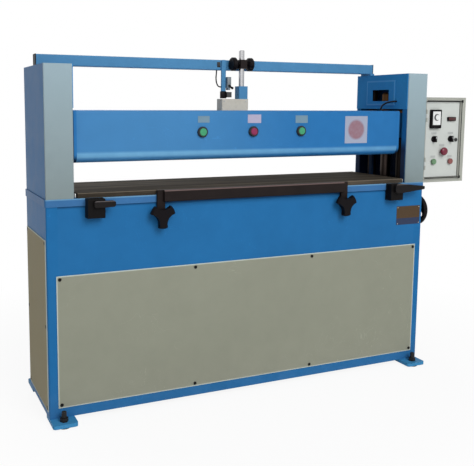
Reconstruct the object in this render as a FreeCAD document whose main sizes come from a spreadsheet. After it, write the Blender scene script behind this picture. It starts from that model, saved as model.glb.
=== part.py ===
import FreeCAD, Part
import math
import os
import re
import Sketcher

# Hydraulic full-beam press for cutting sheet with steel-rule dies.
# A welded cabinet carries a flat table and two end towers. A box beam rides on four guide columns
# inside the towers, and two cylinders under its ends pull it down on the table.
# Millimetres, +Z up, +X to the operator's right, the operator stands at -Y, the floor is z = 0.

SIZES = {
    # floor, feet and cabinet
    "base_length": 1840,
    "base_depth": 400,
    "pad_height": 8,
    "pad_radius": 25,
    "ear_thickness": 15,
    "ear_width": 100,
    "ear_reach": 68,
    "ear_inset": 60,
    "ear_round": 12,
    "bolt_radius": 10,
    "bolt_height": 64,
    "bolt_hole_gap": 0.5,
    "nut_radius": 17,
    "nut_height": 16,
    "end_plate": 8,
    "stile_width": 45,
    "corner_round": 6,
    "rail_height": 51,
    "rail_thickness": 12,
    "tank_rail_pitch": 460,
    "apron_height": 283,
    "panel_thickness": 3,
    "panel_lap": 9,
    "side_panel_low": 49,
    "side_panel_drop": 131,
    "side_panel_margin": 14,
    "side_panel_lap": 16,
    "rib_pitch": 250,
    "rib_thickness": 10,
    "rib_height": 237,
    "rib_hole_radius": 60,
    # deck, table and front fence
    "deck_height": 907,
    "deck_thickness": 30,
    "deck_overhang": 4,
    "deck_round": 10,
    "table_thickness": 20,
    "table_gap": 14,
    "table_round": 3,
    "fence_half": 440,
    "fence_height": 48,
    "fence_thickness": 25,
    "fence_round": 5,
    "bracket_x": 450,
    "bracket_width": 34,
    "bracket_thickness": 12,
    "bracket_drop": 112,
    "clamp_knob_drop": 104,
    "clamp_knob_radius": 53,
    "clamp_knob_thickness": 30,
    "clamp_scallop_radius": 43,
    "clamp_scallop_offset": 68,
    "clamp_stud_radius": 6,
    "lock_x": 730,
    "lock_width": 70,
    "lock_height": 77,
    "lock_depth": 40,
    "lock_round": 4,
    "lever_thickness": 16,
    "lever_pivot_drop": 20,
    "lever_pin_radius": 7,
    "short_lever_length": 74,
    "short_lever_root": 26,
    "short_lever_tip": 24,
    "long_lever_length": 150,
    "long_lever_root": 42,
    "long_lever_tip": 15,
    # towers and columns
    "tower_width": 112,
    "tower_depth": 388,
    "tower_setback": 2,
    "tower_height": 519,
    "tower_wall": 6,
    "tower_lip": 33,
    "tower_cap": 12,
    "cover_thickness": 5,
    "cover_round": 4,
    "guard_clear": 9,
    "guard_thickness": 3,
    "guard_frame_half": 108,
    "guard_frame_raise": 2,
    "guard_window_half": 65,
    "column_inset": 70,
    "column_spread": 110,
    "column_radius": 20,
    "spigot_radius": 15,
    "spigot_length": 25,
    "running_gap": 0.05,
    # cylinders
    "stroke": 100,
    "barrel_radius": 60,
    "barrel_length": 260,
    "barrel_floor": 25,
    "bore_radius": 47.5,
    "gland_gap": 0.1,
    "gland_depth": 30,
    "gland_flange_radius": 50,
    "gland_flange": 10,
    "ram_radius": 25,
    "piston_gap": 0.08,
    "piston_length": 40,
    "piston_drop": 7,
    "ram_end_radius": 18,
    "ram_nut_radius": 28,
    "ram_nut_height": 100,
    # beam
    "daylight": 114,
    "beam_height": 208,
    "beam_depth": 320,
    "beam_end_gap": 12,
    "beam_wall": 16,
    "platen_thickness": 40,
    "beam_round": 34,
    "beam_top_round": 8,
    "beam_cap": 12,
    "lug_rise": 79,
    "lug_height": 120,
    "lug_half": 135,
    "lug_reach": 104,
    "bush_radius": 30,
    "bush_flange_radius": 36,
    "bush_flange": 10,
    "button_pitch": 243,
    "button_rise": 118,
    "bezel_radius": 23,
    "bezel_depth": 12,
    "cap_radius": 16,
    "cap_gap": 0.4,
    "cap_thickness": 9,
    "cap_standoff": 5,
    "stem_radius": 10,
    "stem_length": 27,
    "switch_box_x": 17,
    "switch_box_width": 137,
    "switch_box_depth": 58,
    "switch_box_height": 52,
    "switch_box_round": 6,
    # balance shaft
    "link_offset": 25,
    "link_y": 80,
    "link_thickness": 12,
    "link_depth": 20,
    "link_slot_gap": 0.6,
    "link_foot_wall": 7,
    "link_foot_height": 50,
    "link_deck_gap": 4,
    "crank_radius": 180,
    "crank_thickness": 14,
    "crank_hub_radius": 38,
    "crank_pin_radius": 9,
    "crank_clear": 6,
    "crank_gap": 1,
    "shaft_drop": 157,
    "shaft_radius": 25,
    # power unit
    "tank_center_x": -30,
    "tank_length": 600,
    "tank_depth": 300,
    "tank_wall": 4,
    "tank_lid": 8,
    "tank_lid_lap": 12,
    "motor_x": -170,
    "motor_radius": 88,
    "motor_length": 250,
    "motor_axis_rise": 100,
    "motor_fin_depth": 7,
    "motor_foot": 12,
    "bell_radius": 62,
    "bell_length": 80,
    "pump_radius": 46,
    "pump_length": 90,
    "manifold_x": 205,
    "manifold_length": 100,
    "manifold_depth": 120,
    "manifold_height": 90,
    "coil_radius": 20,
    "coil_length": 55,
    "coil_pitch": 56,
    "pipe_radius": 8,
    "pipe_bend": 40,
    "pipe_clear": 28,
    "pipe_riser_gap": 60,
    "pipe_port_drop": 37,
    "wheel_y": -132,
    "wheel_drop": 115,
    "wheel_radius": 75,
    "wheel_rim": 14,
    "wheel_hub_radius": 17,
    "wheel_web": 8,
    "wheel_standoff": 14,
    "wheel_depth": 26,
    "wheel_hole_radius": 13,
    "spindle_radius": 8,
    "valve_side": 52,
    "valve_length": 44,
    # crossbar and stroke setter
    "bar_left_inset": 37,
    "bar_right_lap": 28,
    "bar_front": 110,
    "bar_depth": 48,
    "bar_height": 47,
    "bar_wall": 4,
    "bar_round": 5,
    "bar_foot_height": 8,
    "bar_foot_width": 24,
    "bar_foot_lap": 15,
    "setter_x": 62,
    "setter_offset": 34,
    "setter_rod_radius": 13,
    "setter_rod_length": 165,
    "setter_block_side": 46,
    "setter_block_height": 59,
    "setter_block_round": 4,
    "clamp_width": 36,
    "clamp_depth": 60,
    "clamp_height": 40,
    "star_radius": 31,
    "star_thickness": 28,
    "star_scallop_radius": 8,
    "star_scallop_offset": 35,
    "star_stud_radius": 5,
    "star_stud_length": 8,
    "post_x": -17,
    "post_width": 22,
    "post_thickness": 8,
    "post_gap": 4,
    "switch_width": 30,
    "switch_depth": 22,
    "roller_radius": 6,
    "roller_arm": 18,
    "cable_radius": 3,
    "beam_cable_radius": 4,
    # control box
    "box_offset": 12,
    "box_width": 286,
    "box_depth": 170,
    "box_setback": 50,
    "box_drop": 11,
    "box_height": 420,
    "box_sheet": 3,
    "door_side": 36,
    "door_bottom": 24,
    "door_top": 20,
    "door_gap": 2.5,
    "door_recess": 2,
    "door_edge": 14,
    "hinge_radius": 5,
    "hinge_pin_radius": 3,
    "hinge_length": 60,
    "hinge_inset": 40,
    "hinge_leaf": 2.5,
    "hinge_leaf_width": 16,
    "standoff_side": 40,
    "standoff_inset": 44,
    "control_pitch": 106,
    "timer_rise": 314,
    "timer_width": 62,
    "timer_height": 92,
    "timer_depth": 16,
    "timer_round": 5,
    "lamp_width": 52,
    "lamp_height": 20,
    "lamp_depth": 8,
    "selector_rise": 215,
    "selector_radius": 15,
    "selector_bar": 10,
    "stop_rise": 154,
    "mushroom_radius": 20,
    "push_rise": 103,
    "push_radius": 14,
    "door_stem_radius": 8,
    "latch_rise": 210,
    "latch_inset": 16,
    "latch_radius": 9,
}

doc = FreeCAD.newDocument("beam_press")
sheet = doc.addObject("Spreadsheet::Sheet", "sizes")
for row, (alias, amount) in enumerate(SIZES.items(), start=1):
    sheet.set(f"A{row}", alias)
    sheet.set(f"B{row}", str(amount))
    sheet.setAlias(f"B{row}", alias)
doc.recompute()

# Levels and stations that several pieces share, as formulas of the sheet's names.
HALF = "(base_length / 2)"
FRONT = "(-base_depth / 2)"
REAR = "(base_depth / 2)"
RIM = "(base_depth / 2 + deck_overhang)"
BASE_LOW = "(pad_height + ear_thickness)"
DECK_LOW = "(deck_height - deck_thickness)"
TABLE_TOP = "(deck_height + table_thickness)"
RAIL_TOP = f"({BASE_LOW} + rail_height)"
APRON_LOW = f"({DECK_LOW} - apron_height)"
STILE = "(base_length / 2 - stile_width)"
INNER_FRONT = "(rail_thickness - base_depth / 2)"
INNER_REAR = "(base_depth / 2 - rail_thickness)"
TOWER_IN = "(base_length / 2 - tower_width)"
TOWER_FRONT = "(tower_setback - base_depth / 2)"
TOWER_REAR = "(tower_setback - base_depth / 2 + tower_depth)"
TOWER_TOP = "(deck_height + tower_height)"
TABLE_END = f"({TOWER_IN} - table_gap)"
COLUMN_X = "(base_length / 2 - column_inset)"
BEAM_LOW = f"({TABLE_TOP} + daylight)"
BEAM_TOP = f"({BEAM_LOW} + beam_height)"
BEAM_END = f"({TOWER_IN} - beam_end_gap)"
BEAM_FACE = "(-beam_depth / 2)"
LUG_LOW = f"({BEAM_LOW} + lug_rise)"
LUG_TOP = f"({LUG_LOW} + lug_height)"
SHAFT_Z = f"({DECK_LOW} - shaft_drop)"
WHEEL_Z = f"({DECK_LOW} - wheel_drop)"
SIDE_PANEL_HIGH = f"({DECK_LOW} - side_panel_drop)"
RIB_LOW = f"({DECK_LOW} - rib_height)"
PIPE_Z = f"({RIB_LOW} - pipe_clear)"
GUARD_LOW = f"({BEAM_TOP} + guard_clear)"
GUARD_RISE = f"({TOWER_TOP} - {GUARD_LOW})"
LINK_X = f"({COLUMN_X} - link_offset)"
CRANK_REACH = "sqrt(crank_radius ^ 2 - (stroke / 2) ^ 2)"
SHAFT_Y = f"(link_y - (crank_radius + {CRANK_REACH}) / 2)"
PIN_Y = f"({SHAFT_Y} + {CRANK_REACH})"
PIN_HEIGHT = f"({SHAFT_Z} + stroke / 2)"
LID_TOP = f"({PIPE_Z} - pipe_clear - motor_radius - motor_axis_rise)"
BAR_LOW = f"({TOWER_TOP} + bar_foot_height)"
BAR_TOP = f"({BAR_LOW} + bar_height)"
SETTER_Y = "(bar_front - setter_offset)"
SWITCH_BOX_TOP = f"({BEAM_TOP} + switch_box_height)"
CLAMP_LOW = f"({BAR_TOP} - clamp_height)"
KNOB_HEIGHT = f"({BAR_TOP} - clamp_height / 2)"
POST_FRONT = "(bar_front - post_thickness)"
POST_LOW = f"({SWITCH_BOX_TOP} + post_gap)"
POST_RIGHT = "(post_x + post_width / 2)"
BOX_LEFT = f"({HALF} + box_offset)"
BOX_RIGHT = f"({BOX_LEFT} + box_width)"
BOX_FACE = "(box_setback - base_depth / 2)"
BOX_LOW = "(deck_height - box_drop)"
BOX_TOP = f"({BOX_LOW} + box_height)"
DOOR_LEFT = f"({BOX_LEFT} + door_side)"
DOOR_RIGHT = f"({BOX_RIGHT} - door_side)"
DOOR_LOW = f"({BOX_LOW} + door_bottom)"
DOOR_HIGH = f"({BOX_TOP} - door_top)"
DOOR_FACE = f"({BOX_FACE} + door_recess)"
DOOR_MIDDLE = f"(({DOOR_LEFT} + {DOOR_RIGHT}) / 2)"

# The origin is on the floor under the middle of the whole machine, control box included.
ORIGIN_X = "((box_offset + box_width - deck_overhang) / 2)"

PLANES = {"XY_Plane": "xy", "XZ_Plane": "xz", "YZ_Plane": "yz"}
TURNS = {
    "X": FreeCAD.Rotation(FreeCAD.Vector(0, 1, 0), 90),
    "Y": FreeCAD.Rotation(FreeCAD.Vector(1, 0, 0), -90),
    "Z": FreeCAD.Rotation(),
}
nodes = []


def formula(text):
    """The text with each of the sheet's names written as a reference to its cell."""
    return re.sub(r"[a-z][a-z_]*", lambda word: f"sizes.{word[0]}" if word[0] in SIZES else word[0], text)


def number(text):
    """What a formula comes to with the sheet's present values."""
    return float(sheet.evalExpression(formula(text)))


def bind(piece, **formulas):
    """Ties properties of a piece to formulas."""
    for name, text in formulas.items():
        piece.setExpression(name, formula(text))


def place(piece, x, y, z, turn="Z"):
    """Puts a piece's own origin at a point of the machine, its own Z turned to the named axis."""
    piece.Placement = FreeCAD.Placement(FreeCAD.Vector(), TURNS[turn])
    for letter, text in (("x", f"({x}) - {ORIGIN_X}"), ("y", y), ("z", z)):
        piece.setExpression(f"Placement.Base.{letter}", formula(text))


def node(label, piece):
    """Names a finished sub-part."""
    piece.Label = label
    nodes.append(piece)
    return piece


def sided(side, low, high):
    """A span along X on the right-hand end (side 1) or mirrored to the left-hand end (side -1)."""
    return (low, high) if side > 0 else (f"-({high})", f"-({low})")


def box(x, y, z):
    """A square-edged block between a low and a high formula on each axis."""
    block = doc.addObject("Part::Box", "block")
    for edge, (low, high) in zip(("Length", "Width", "Height"), (x, y, z)):
        bind(block, **{edge: f"({high}) - ({low})"})
    place(block, x[0], y[0], z[0])
    return block


def rod(axis, radius, center, span):
    """A round bar along an axis, its center given by the two other coordinates in X, Y, Z order."""
    bar = doc.addObject("Part::Cylinder", "bar")
    bind(bar, Radius=radius, Height=f"({span[1]}) - ({span[0]})")
    start = list(center)
    start.insert("XYZ".index(axis), span[0])
    place(bar, *start, turn=axis)
    return bar


def join(*pieces):
    """One solid welded from several."""
    weld = doc.addObject("Part::MultiFuse", "weld")
    weld.Shapes = list(pieces)
    weld.Refine = True
    return weld


def cut(piece, *tools):
    """A piece with the tools' volumes taken out of it."""
    result = doc.addObject("Part::Cut", "cut")
    result.Base = piece
    result.Tool = tools[0] if len(tools) == 1 else join(*tools)
    return result


def group(*pieces):
    """Separate solids of one kind kept together."""
    family = doc.addObject("Part::Compound", "family")
    family.Links = list(pieces)
    return family


def outline(body, plane, corners):
    """A closed outline of straight lines on one of a body's planes, each corner tied to two formulas."""
    sketch = body.newObject("Sketcher::SketchObject", "outline")
    support = next(plane_of_body for plane_of_body in body.Origin.OriginFeatures if plane_of_body.Role == plane)
    sketch.AttachmentSupport = [(support, "")]
    sketch.MapMode = "FlatFace"
    points = [FreeCAD.Vector(number(u), number(v), 0) for u, v in corners]
    for start, end in zip(points, points[1:] + points[:1]):
        sketch.addGeometry(Part.LineSegment(start, end), False)
    for line in range(len(points)):
        sketch.addConstraint(Sketcher.Constraint("Coincident", line, 2, (line + 1) % len(points), 1))
    for line, corner in enumerate(corners):
        for kind, text in zip(("DistanceX", "DistanceY"), corner):
            tie = sketch.addConstraint(Sketcher.Constraint(kind, -1, 1, line, 1, number(text)))
            sketch.setExpression(f"Constraints[{tie}]", formula(text))
    return sketch


def extrusion(plane, corners, span, rounds=()):
    """An outline carried along the plane's normal over a span; rounds lists (corner numbers, radius)."""
    body = doc.addObject("PartDesign::Body", "profile")
    sketch = outline(body, plane, corners)
    solid = body.newObject("PartDesign::Pad", "pad")
    solid.Profile = sketch
    bind(solid, Length=f"({span[1]}) - ({span[0]})")
    start = {"XY_Plane": ("0", "0", span[0]), "XZ_Plane": ("0", span[1], "0"), "YZ_Plane": (span[0], "0", "0")}
    place(body, *start[plane])
    doc.recompute()
    across = PLANES[plane]
    for picked, radius in rounds:
        spots = [tuple(number(text) for text in corners[index]) for index in picked]
        names = []
        for index, edge in enumerate(solid.Shape.Edges, start=1):
            ends = [tuple(getattr(vertex.Point, axis) for axis in across) for vertex in edge.Vertexes]
            if any(all(math.dist(end, spot) < 1e-4 for end in ends) for spot in spots):
                names.append(f"Edge{index}")
        rounded = body.newObject("PartDesign::Fillet", "rounds")
        rounded.Base = (solid, names)
        bind(rounded, Radius=radius)
        doc.recompute()
        solid = rounded
    return body


def turned(axis, steps, origin):
    """A turned piece: steps are (radius, distance along the axis) round its half section."""
    body = doc.addObject("PartDesign::Body", "turning")
    sketch = outline(body, "XZ_Plane", steps)
    solid = body.newObject("PartDesign::Revolution", "revolution")
    solid.Profile = sketch
    solid.ReferenceAxis = (sketch, ["V_Axis"])
    solid.Angle = 360
    place(body, *origin, turn=axis)
    doc.recompute()
    return body


def tube(route, radius, bend=None):
    """A round tube through points, with one bend radius or with bends as wide as the runs allow."""
    points = [FreeCAD.Vector(number(f"({x}) - {ORIGIN_X}"), number(y), number(z)) for x, y, z in route]
    section = number(radius)
    runs = []
    length = 0.0
    tail = points[0]
    radii = []
    for before, corner, after in zip(points, points[1:], points[2:]):
        back = (before - corner).normalize()
        ahead = (after - corner).normalize()
        half_turn = (math.pi - back.getAngle(ahead)) / 2
        run = min((before - corner).Length, (after - corner).Length)
        curve = number(bend) if bend else 0.45 * run / math.tan(half_turn)
        setback = curve * math.tan(half_turn)
        start = corner + back * setback
        end = corner + ahead * setback
        runs.append(Part.makeCylinder(section, (start - tail).Length, tail, start - tail))
        ring = Part.Face(Part.Wire([Part.makeCircle(section, start, corner - start)]))
        center = corner + (back + ahead).normalize() * (curve / math.cos(half_turn))
        runs.append(ring.revolve(center, ahead.cross(back), math.degrees(2 * half_turn)))
        length += (start - tail).Length + 2 * half_turn * curve
        radii.append(round(curve, 1))
        tail = end
    runs.append(Part.makeCylinder(section, (points[-1] - tail).Length, tail, points[-1] - tail))
    length += (points[-1] - tail).Length
    solid = runs[0].multiFuse(runs[1:]).removeSplitter().Solids[0]
    share = solid.Volume / (math.pi * section ** 2 * length)
    print(f"tube bends {radii} mm, volume over section times length {share:.4f}")
    piece = doc.addObject("Part::Feature", "tube")
    piece.Shape = solid
    return piece


# Feet: ears welded under the cabinet's corners, each with a levelling bolt, its pad and its nut.
ears = []
bolts = []
for side in (-1, 1):
    for end in (-1, 1):
        x = sided(side, f"{HALF} - ear_width", HALF)
        reach = f"{end} * (base_depth / 2 + ear_reach)"
        inset = f"{end} * (base_depth / 2 - ear_inset)"
        bolt_x = f"{side} * ({HALF} - ear_width / 2)"
        bolt_y = f"{end} * (base_depth / 2 + ear_reach / 2)"
        ear = extrusion(
            "XY_Plane",
            [(x[0], inset), (x[1], inset), (x[1], reach), (x[0], reach)],
            ("pad_height", BASE_LOW),
            [((2, 3), "ear_round")],
        )
        hole = rod("Z", "bolt_radius + bolt_hole_gap", (bolt_x, bolt_y), ("0", BASE_LOW))
        ears.append(cut(ear, hole))
        bolts.append(turned(
            "Z",
            [("0", "0"), ("pad_radius", "0"), ("pad_radius", "pad_height"), ("bolt_radius", "pad_height"),
             ("bolt_radius", "bolt_height - 2"), ("bolt_radius - 2", "bolt_height"), ("0", "bolt_height")],
            (bolt_x, bolt_y, "0"),
        ))
        nut = doc.addObject("Part::Prism", "nut")
        nut.Polygon = 6
        bind(nut, Circumradius="nut_radius", Height="nut_height")
        place(nut, bolt_x, bolt_y, BASE_LOW)
        nut_bore = rod("Z", "bolt_radius + running_gap", (bolt_x, bolt_y), (BASE_LOW, f"{BASE_LOW} + nut_height"))
        bolts.append(cut(nut, nut_bore))
node("foot_plates", group(*ears))
node("levelling_bolts", group(*bolts))

# Cabinet: folded end frames with a window each, rails, deep aprons and cross ribs under the deck.
frames = []
for side in (-1, 1):
    outer = f"{side} * {HALF}"
    inner = f"{side} * ({HALF} - end_plate)"
    stile = f"{side} * {STILE}"
    frame = extrusion(
        "XY_Plane",
        [(stile, FRONT), (outer, FRONT), (outer, REAR), (stile, REAR), (stile, f"{REAR} - end_plate"),
         (inner, f"{REAR} - end_plate"), (inner, f"{FRONT} + end_plate"), (stile, f"{FRONT} + end_plate")],
        (BASE_LOW, DECK_LOW),
        [((1, 2), "corner_round")],
    )
    window = box(
        sided(side, f"{HALF} - 2 * end_plate", f"{HALF} + end_plate"),
        (f"{FRONT} + side_panel_margin + side_panel_lap", f"{REAR} - side_panel_margin - side_panel_lap"),
        ("side_panel_low + side_panel_lap", f"{SIDE_PANEL_HIGH} - side_panel_lap"),
    )
    if side > 0:
        spindle_hole = rod("X", "spindle_radius + running_gap", ("wheel_y", WHEEL_Z),
                           (f"{HALF} - 2 * end_plate", f"{HALF} + end_plate"))
        frames.append(cut(frame, window, spindle_hole))
    else:
        frames.append(cut(frame, window))
node("end_frames", group(*frames))

rails = []
aprons = []
for low, high in ((FRONT, INNER_FRONT), (INNER_REAR, REAR)):
    rails.append(box((f"-{STILE}", STILE), (low, high), (BASE_LOW, RAIL_TOP)))
    aprons.append(box((f"-{STILE}", STILE), (low, high), (APRON_LOW, DECK_LOW)))
for side in (-1, 1):
    middle = f"(tank_center_x + {side} * tank_rail_pitch / 2)"
    rails.append(box((f"{middle} - rail_thickness / 2", f"{middle} + rail_thickness / 2"),
                     (INNER_FRONT, INNER_REAR), (BASE_LOW, RAIL_TOP)))
node("bottom_rails", group(*rails))
node("bed_aprons", group(*aprons))

ribs = []
for place_number in range(-2, 3):
    middle = f"({place_number} * rib_pitch)"
    faces = (f"{middle} - rib_thickness / 2", f"{middle} + rib_thickness / 2")
    rib = box(faces, (INNER_FRONT, INNER_REAR), (RIB_LOW, DECK_LOW))
    bearing = rod("X", "shaft_radius + running_gap", (SHAFT_Y, SHAFT_Z), faces)
    lightening = rod("X", "rib_hole_radius", ("link_y", f"{DECK_LOW} - rib_height / 2"), faces)
    ribs.append(cut(rib, bearing, lightening))
node("bed_ribs", group(*ribs))

node("front_panel", box((f"-({STILE} + panel_lap)", f"{STILE} + panel_lap"), (f"{FRONT} - panel_thickness", FRONT),
                        (f"{RAIL_TOP} - panel_lap", f"{APRON_LOW} + panel_lap")))
node("rear_panel", box((f"-({STILE} + panel_lap)", f"{STILE} + panel_lap"), (REAR, f"{REAR} + panel_thickness"),
                       (f"{RAIL_TOP} - panel_lap", f"{APRON_LOW} + panel_lap")))
node("side_panels", group(*[
    box(sided(side, HALF, f"{HALF} + panel_thickness"),
        (f"{FRONT} + side_panel_margin", f"{REAR} - side_panel_margin"), ("side_panel_low", SIDE_PANEL_HIGH))
    for side in (-1, 1)
]))

# Deck and table: a thick deck plate bored for the columns, glands and balance links, and a flat table.
deck = extrusion(
    "XY_Plane",
    [(f"-({HALF} + deck_overhang)", f"-{RIM}"), (f"{HALF} + deck_overhang", f"-{RIM}"),
     (f"{HALF} + deck_overhang", RIM), (f"-({HALF} + deck_overhang)", RIM)],
    (DECK_LOW, "deck_height"),
    [((0, 1, 2, 3), "deck_round")],
)
deck_holes = []
for side in (-1, 1):
    column_x = f"{side} * {COLUMN_X}"
    deck_holes.append(rod("Z", "bore_radius", (column_x, "0"), (DECK_LOW, "deck_height")))
    for end in (-1, 1):
        deck_holes.append(rod("Z", "spigot_radius + running_gap", (column_x, f"{end} * column_spread"),
                              ("deck_height - spigot_length", "deck_height")))
    deck_holes.append(box(
        sided(side, f"{LINK_X} - link_thickness / 2 - link_deck_gap", f"{LINK_X} + link_thickness / 2 + link_deck_gap"),
        ("link_y - link_depth / 2 - link_deck_gap", "link_y + link_depth / 2 + link_deck_gap"),
        (DECK_LOW, "deck_height"),
    ))
node("deck_plate", cut(deck, *deck_holes))

node("work_table", extrusion(
    "YZ_Plane",
    [(FRONT, "deck_height"), (REAR, "deck_height"), (REAR, TABLE_TOP), (FRONT, TABLE_TOP)],
    (f"-{TABLE_END}", TABLE_END),
    [((2, 3), "table_round")],
))

# Front fence: a bar along the table's front edge on two hanging brackets, each held by a three-lobed knob.
fence_face = f"-({RIM} + fence_thickness)"
fence_bar = extrusion(
    "YZ_Plane",
    [(f"-{RIM}", f"{TABLE_TOP} - fence_height"), (f"-{RIM}", TABLE_TOP), (fence_face, TABLE_TOP),
     (fence_face, f"{TABLE_TOP} - fence_height")],
    ("-fence_half", "fence_half"),
    [((2, 3), "fence_round")],
)
fence_brackets = []
stud_holes = []
KNOB_Z = f"({TABLE_TOP} - clamp_knob_drop)"
BRACKET_FACE = f"(-{RIM} - bracket_thickness)"
for side in (-1, 1):
    middle = f"({side} * bracket_x)"
    fence_brackets.append(extrusion(
        "XZ_Plane",
        [(f"{middle} - bracket_width / 2", f"{TABLE_TOP} - bracket_drop - bracket_width / 4"),
         (f"{middle} + bracket_width / 2", f"{TABLE_TOP} - bracket_drop - bracket_width / 4"),
         (f"{middle} + bracket_width / 2", TABLE_TOP), (f"{middle} - bracket_width / 2", TABLE_TOP)],
        (BRACKET_FACE, f"-{RIM}"),
        [((0, 1), "bracket_width / 3")],
    ))
    stud_holes.append(rod("Y", "clamp_stud_radius + running_gap", (middle, KNOB_Z), (BRACKET_FACE, f"-{RIM}")))
node("front_fence", cut(join(fence_bar, *fence_brackets), *stud_holes))

for side, label in ((-1, "left_clamp_knob"), (1, "right_clamp_knob")):
    middle = f"({side} * bracket_x)"
    face = f"({BRACKET_FACE} - clamp_knob_thickness)"
    disc = turned(
        "Y",
        [("0", "0"), ("clamp_knob_radius - 6", "0"), ("clamp_knob_radius", "7"),
         ("clamp_knob_radius", "clamp_knob_thickness - 10"), ("clamp_knob_radius - 6", "clamp_knob_thickness - 4"),
         ("clamp_stud_radius * 2", "clamp_knob_thickness - 4"), ("clamp_stud_radius * 2", "clamp_knob_thickness"),
         ("clamp_stud_radius", "clamp_knob_thickness"),
         ("clamp_stud_radius", "clamp_knob_thickness + bracket_thickness"),
         ("0", "clamp_knob_thickness + bracket_thickness")],
        (middle, face, KNOB_Z),
    )
    scallops = []
    for lobe in range(3):
        angle = math.radians(90 + 120 * lobe)
        scallops.append(rod(
            "Y", "clamp_scallop_radius",
            (f"{middle} + clamp_scallop_offset * {math.cos(angle):.6f}",
             f"{KNOB_Z} + clamp_scallop_offset * {math.sin(angle):.6f}"),
            (face, f"{BRACKET_FACE} - 2"),
        ))
    node(label, cut(disc, *scallops))

# Front lock blocks: a block hooked over the deck's rim at each end, with a hand lever on a pin.
blocks = []
LOCK_FACE = f"(-{RIM} - lock_depth)"
LEVER_Z = "(deck_height - lever_pivot_drop)"
for side in (-1, 1):
    middle = f"({side} * lock_x)"
    block = extrusion(
        "YZ_Plane",
        [(LOCK_FACE, "deck_height - lock_height"), (FRONT, "deck_height - lock_height"), (FRONT, DECK_LOW),
         (f"-{RIM}", DECK_LOW), (f"-{RIM}", "deck_height"), (LOCK_FACE, "deck_height")],
        (f"{middle} - lock_width / 2", f"{middle} + lock_width / 2"),
        [((0, 5), "lock_round")],
    )
    pin_hole = rod("Y", "lever_pin_radius + running_gap", (middle, LEVER_Z), (LOCK_FACE, f"{LOCK_FACE} + lock_depth / 2"))
    blocks.append(cut(block, pin_hole))
node("lock_blocks", group(*blocks))

for side, label, kind in ((-1, "left_lock_lever", "short"), (1, "right_lock_lever", "long")):
    middle = f"({side} * lock_x)"
    root = f"{kind}_lever_root / 2"
    tip = f"{kind}_lever_tip / 2"
    lever = extrusion(
        "XZ_Plane",
        [(f"{middle} - {root}", f"{LEVER_Z} - {root}"), (f"{middle} + {root}", f"{LEVER_Z} - {root}"),
         (f"{middle} + {kind}_lever_length", f"{LEVER_Z} - {tip}"),
         (f"{middle} + {kind}_lever_length", f"{LEVER_Z} + {tip}"),
         (f"{middle} + {root}", f"{LEVER_Z} + {root}"), (f"{middle} - {root}", f"{LEVER_Z} + {root}")],
        (f"{LOCK_FACE} - lever_thickness", LOCK_FACE),
        [((0, 5), f"{root} * 0.7"), ((2, 3), f"{tip} * 0.8")],
    )
    pin = rod("Y", "lever_pin_radius", (middle, LEVER_Z), (f"{LOCK_FACE} - lever_thickness", f"{LOCK_FACE} + lock_depth / 2 - 1"))
    node(label, join(lever, pin))

# Towers: folded channel shells with a welded cap, a plain front cover and an inner guard with a window.
shells = []
covers = []
guards = []
for side in (-1, 1):
    out_x = f"{side} * {HALF}"
    wall_x = f"{side} * ({HALF} - tower_wall)"
    in_x = f"{side} * {TOWER_IN}"
    lip_x = f"{side} * ({TOWER_IN} + tower_wall)"
    channel = extrusion(
        "XY_Plane",
        [(in_x, TOWER_FRONT), (out_x, TOWER_FRONT), (out_x, TOWER_REAR), (in_x, TOWER_REAR),
         (in_x, f"{TOWER_REAR} - tower_lip"), (lip_x, f"{TOWER_REAR} - tower_lip"),
         (lip_x, f"{TOWER_REAR} - tower_wall"), (wall_x, f"{TOWER_REAR} - tower_wall"),
         (wall_x, f"{TOWER_FRONT} + tower_wall"), (lip_x, f"{TOWER_FRONT} + tower_wall"),
         (lip_x, f"{TOWER_FRONT} + tower_lip"), (in_x, f"{TOWER_FRONT} + tower_lip")],
        ("deck_height", f"{TOWER_TOP} - tower_cap"),
    )
    cap = box(sided(side, TOWER_IN, HALF), (TOWER_FRONT, TOWER_REAR), (f"{TOWER_TOP} - tower_cap", TOWER_TOP))
    spigots = [rod("Z", "spigot_radius + running_gap", (f"{side} * {COLUMN_X}", f"{end} * column_spread"),
                   (f"{TOWER_TOP} - tower_cap", TOWER_TOP)) for end in (-1, 1)]
    shells.append(cut(join(channel, cap), *spigots))
    covers.append(extrusion(
        "XY_Plane",
        [(in_x, f"{TOWER_FRONT} - cover_thickness"), (out_x, f"{TOWER_FRONT} - cover_thickness"),
         (out_x, TOWER_FRONT), (in_x, TOWER_FRONT)],
        ("deck_height", TOWER_TOP),
        [((0, 1), "cover_round")],
    ))
    plate = box(sided(side, f"{TOWER_IN} - guard_thickness", TOWER_IN), (TOWER_FRONT, TOWER_REAR), (GUARD_LOW, TOWER_TOP))
    raised = box(sided(side, f"{TOWER_IN} - guard_thickness - guard_frame_raise", f"{TOWER_IN} - guard_thickness"),
                 ("-guard_frame_half", "guard_frame_half"),
                 (f"{GUARD_LOW} + {GUARD_RISE} * 0.11", f"{GUARD_LOW} + {GUARD_RISE} * 0.83"))
    window = box(sided(side, f"{TOWER_IN} - guard_thickness - guard_frame_raise", TOWER_IN),
                 ("-guard_window_half", "guard_window_half"),
                 (f"{GUARD_LOW} + {GUARD_RISE} * 0.23", f"{GUARD_LOW} + {GUARD_RISE} * 0.56"))
    guards.append(cut(join(plate, raised), window))
node("tower_shells", group(*shells))
node("tower_covers", group(*covers))
node("inner_guards", group(*guards))

columns = []
for side in (-1, 1):
    for end in (-1, 1):
        columns.append(turned(
            "Z",
            [("0", "-spigot_length"), ("spigot_radius", "-spigot_length"), ("spigot_radius", "0"),
             ("column_radius", "0"), ("column_radius", "tower_height - tower_cap"),
             ("spigot_radius", "tower_height - tower_cap"), ("spigot_radius", "tower_height"), ("0", "tower_height")],
            (f"{side} * {COLUMN_X}", f"{end} * column_spread", "deck_height"),
        ))
node("guide_columns", group(*columns))

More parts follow.
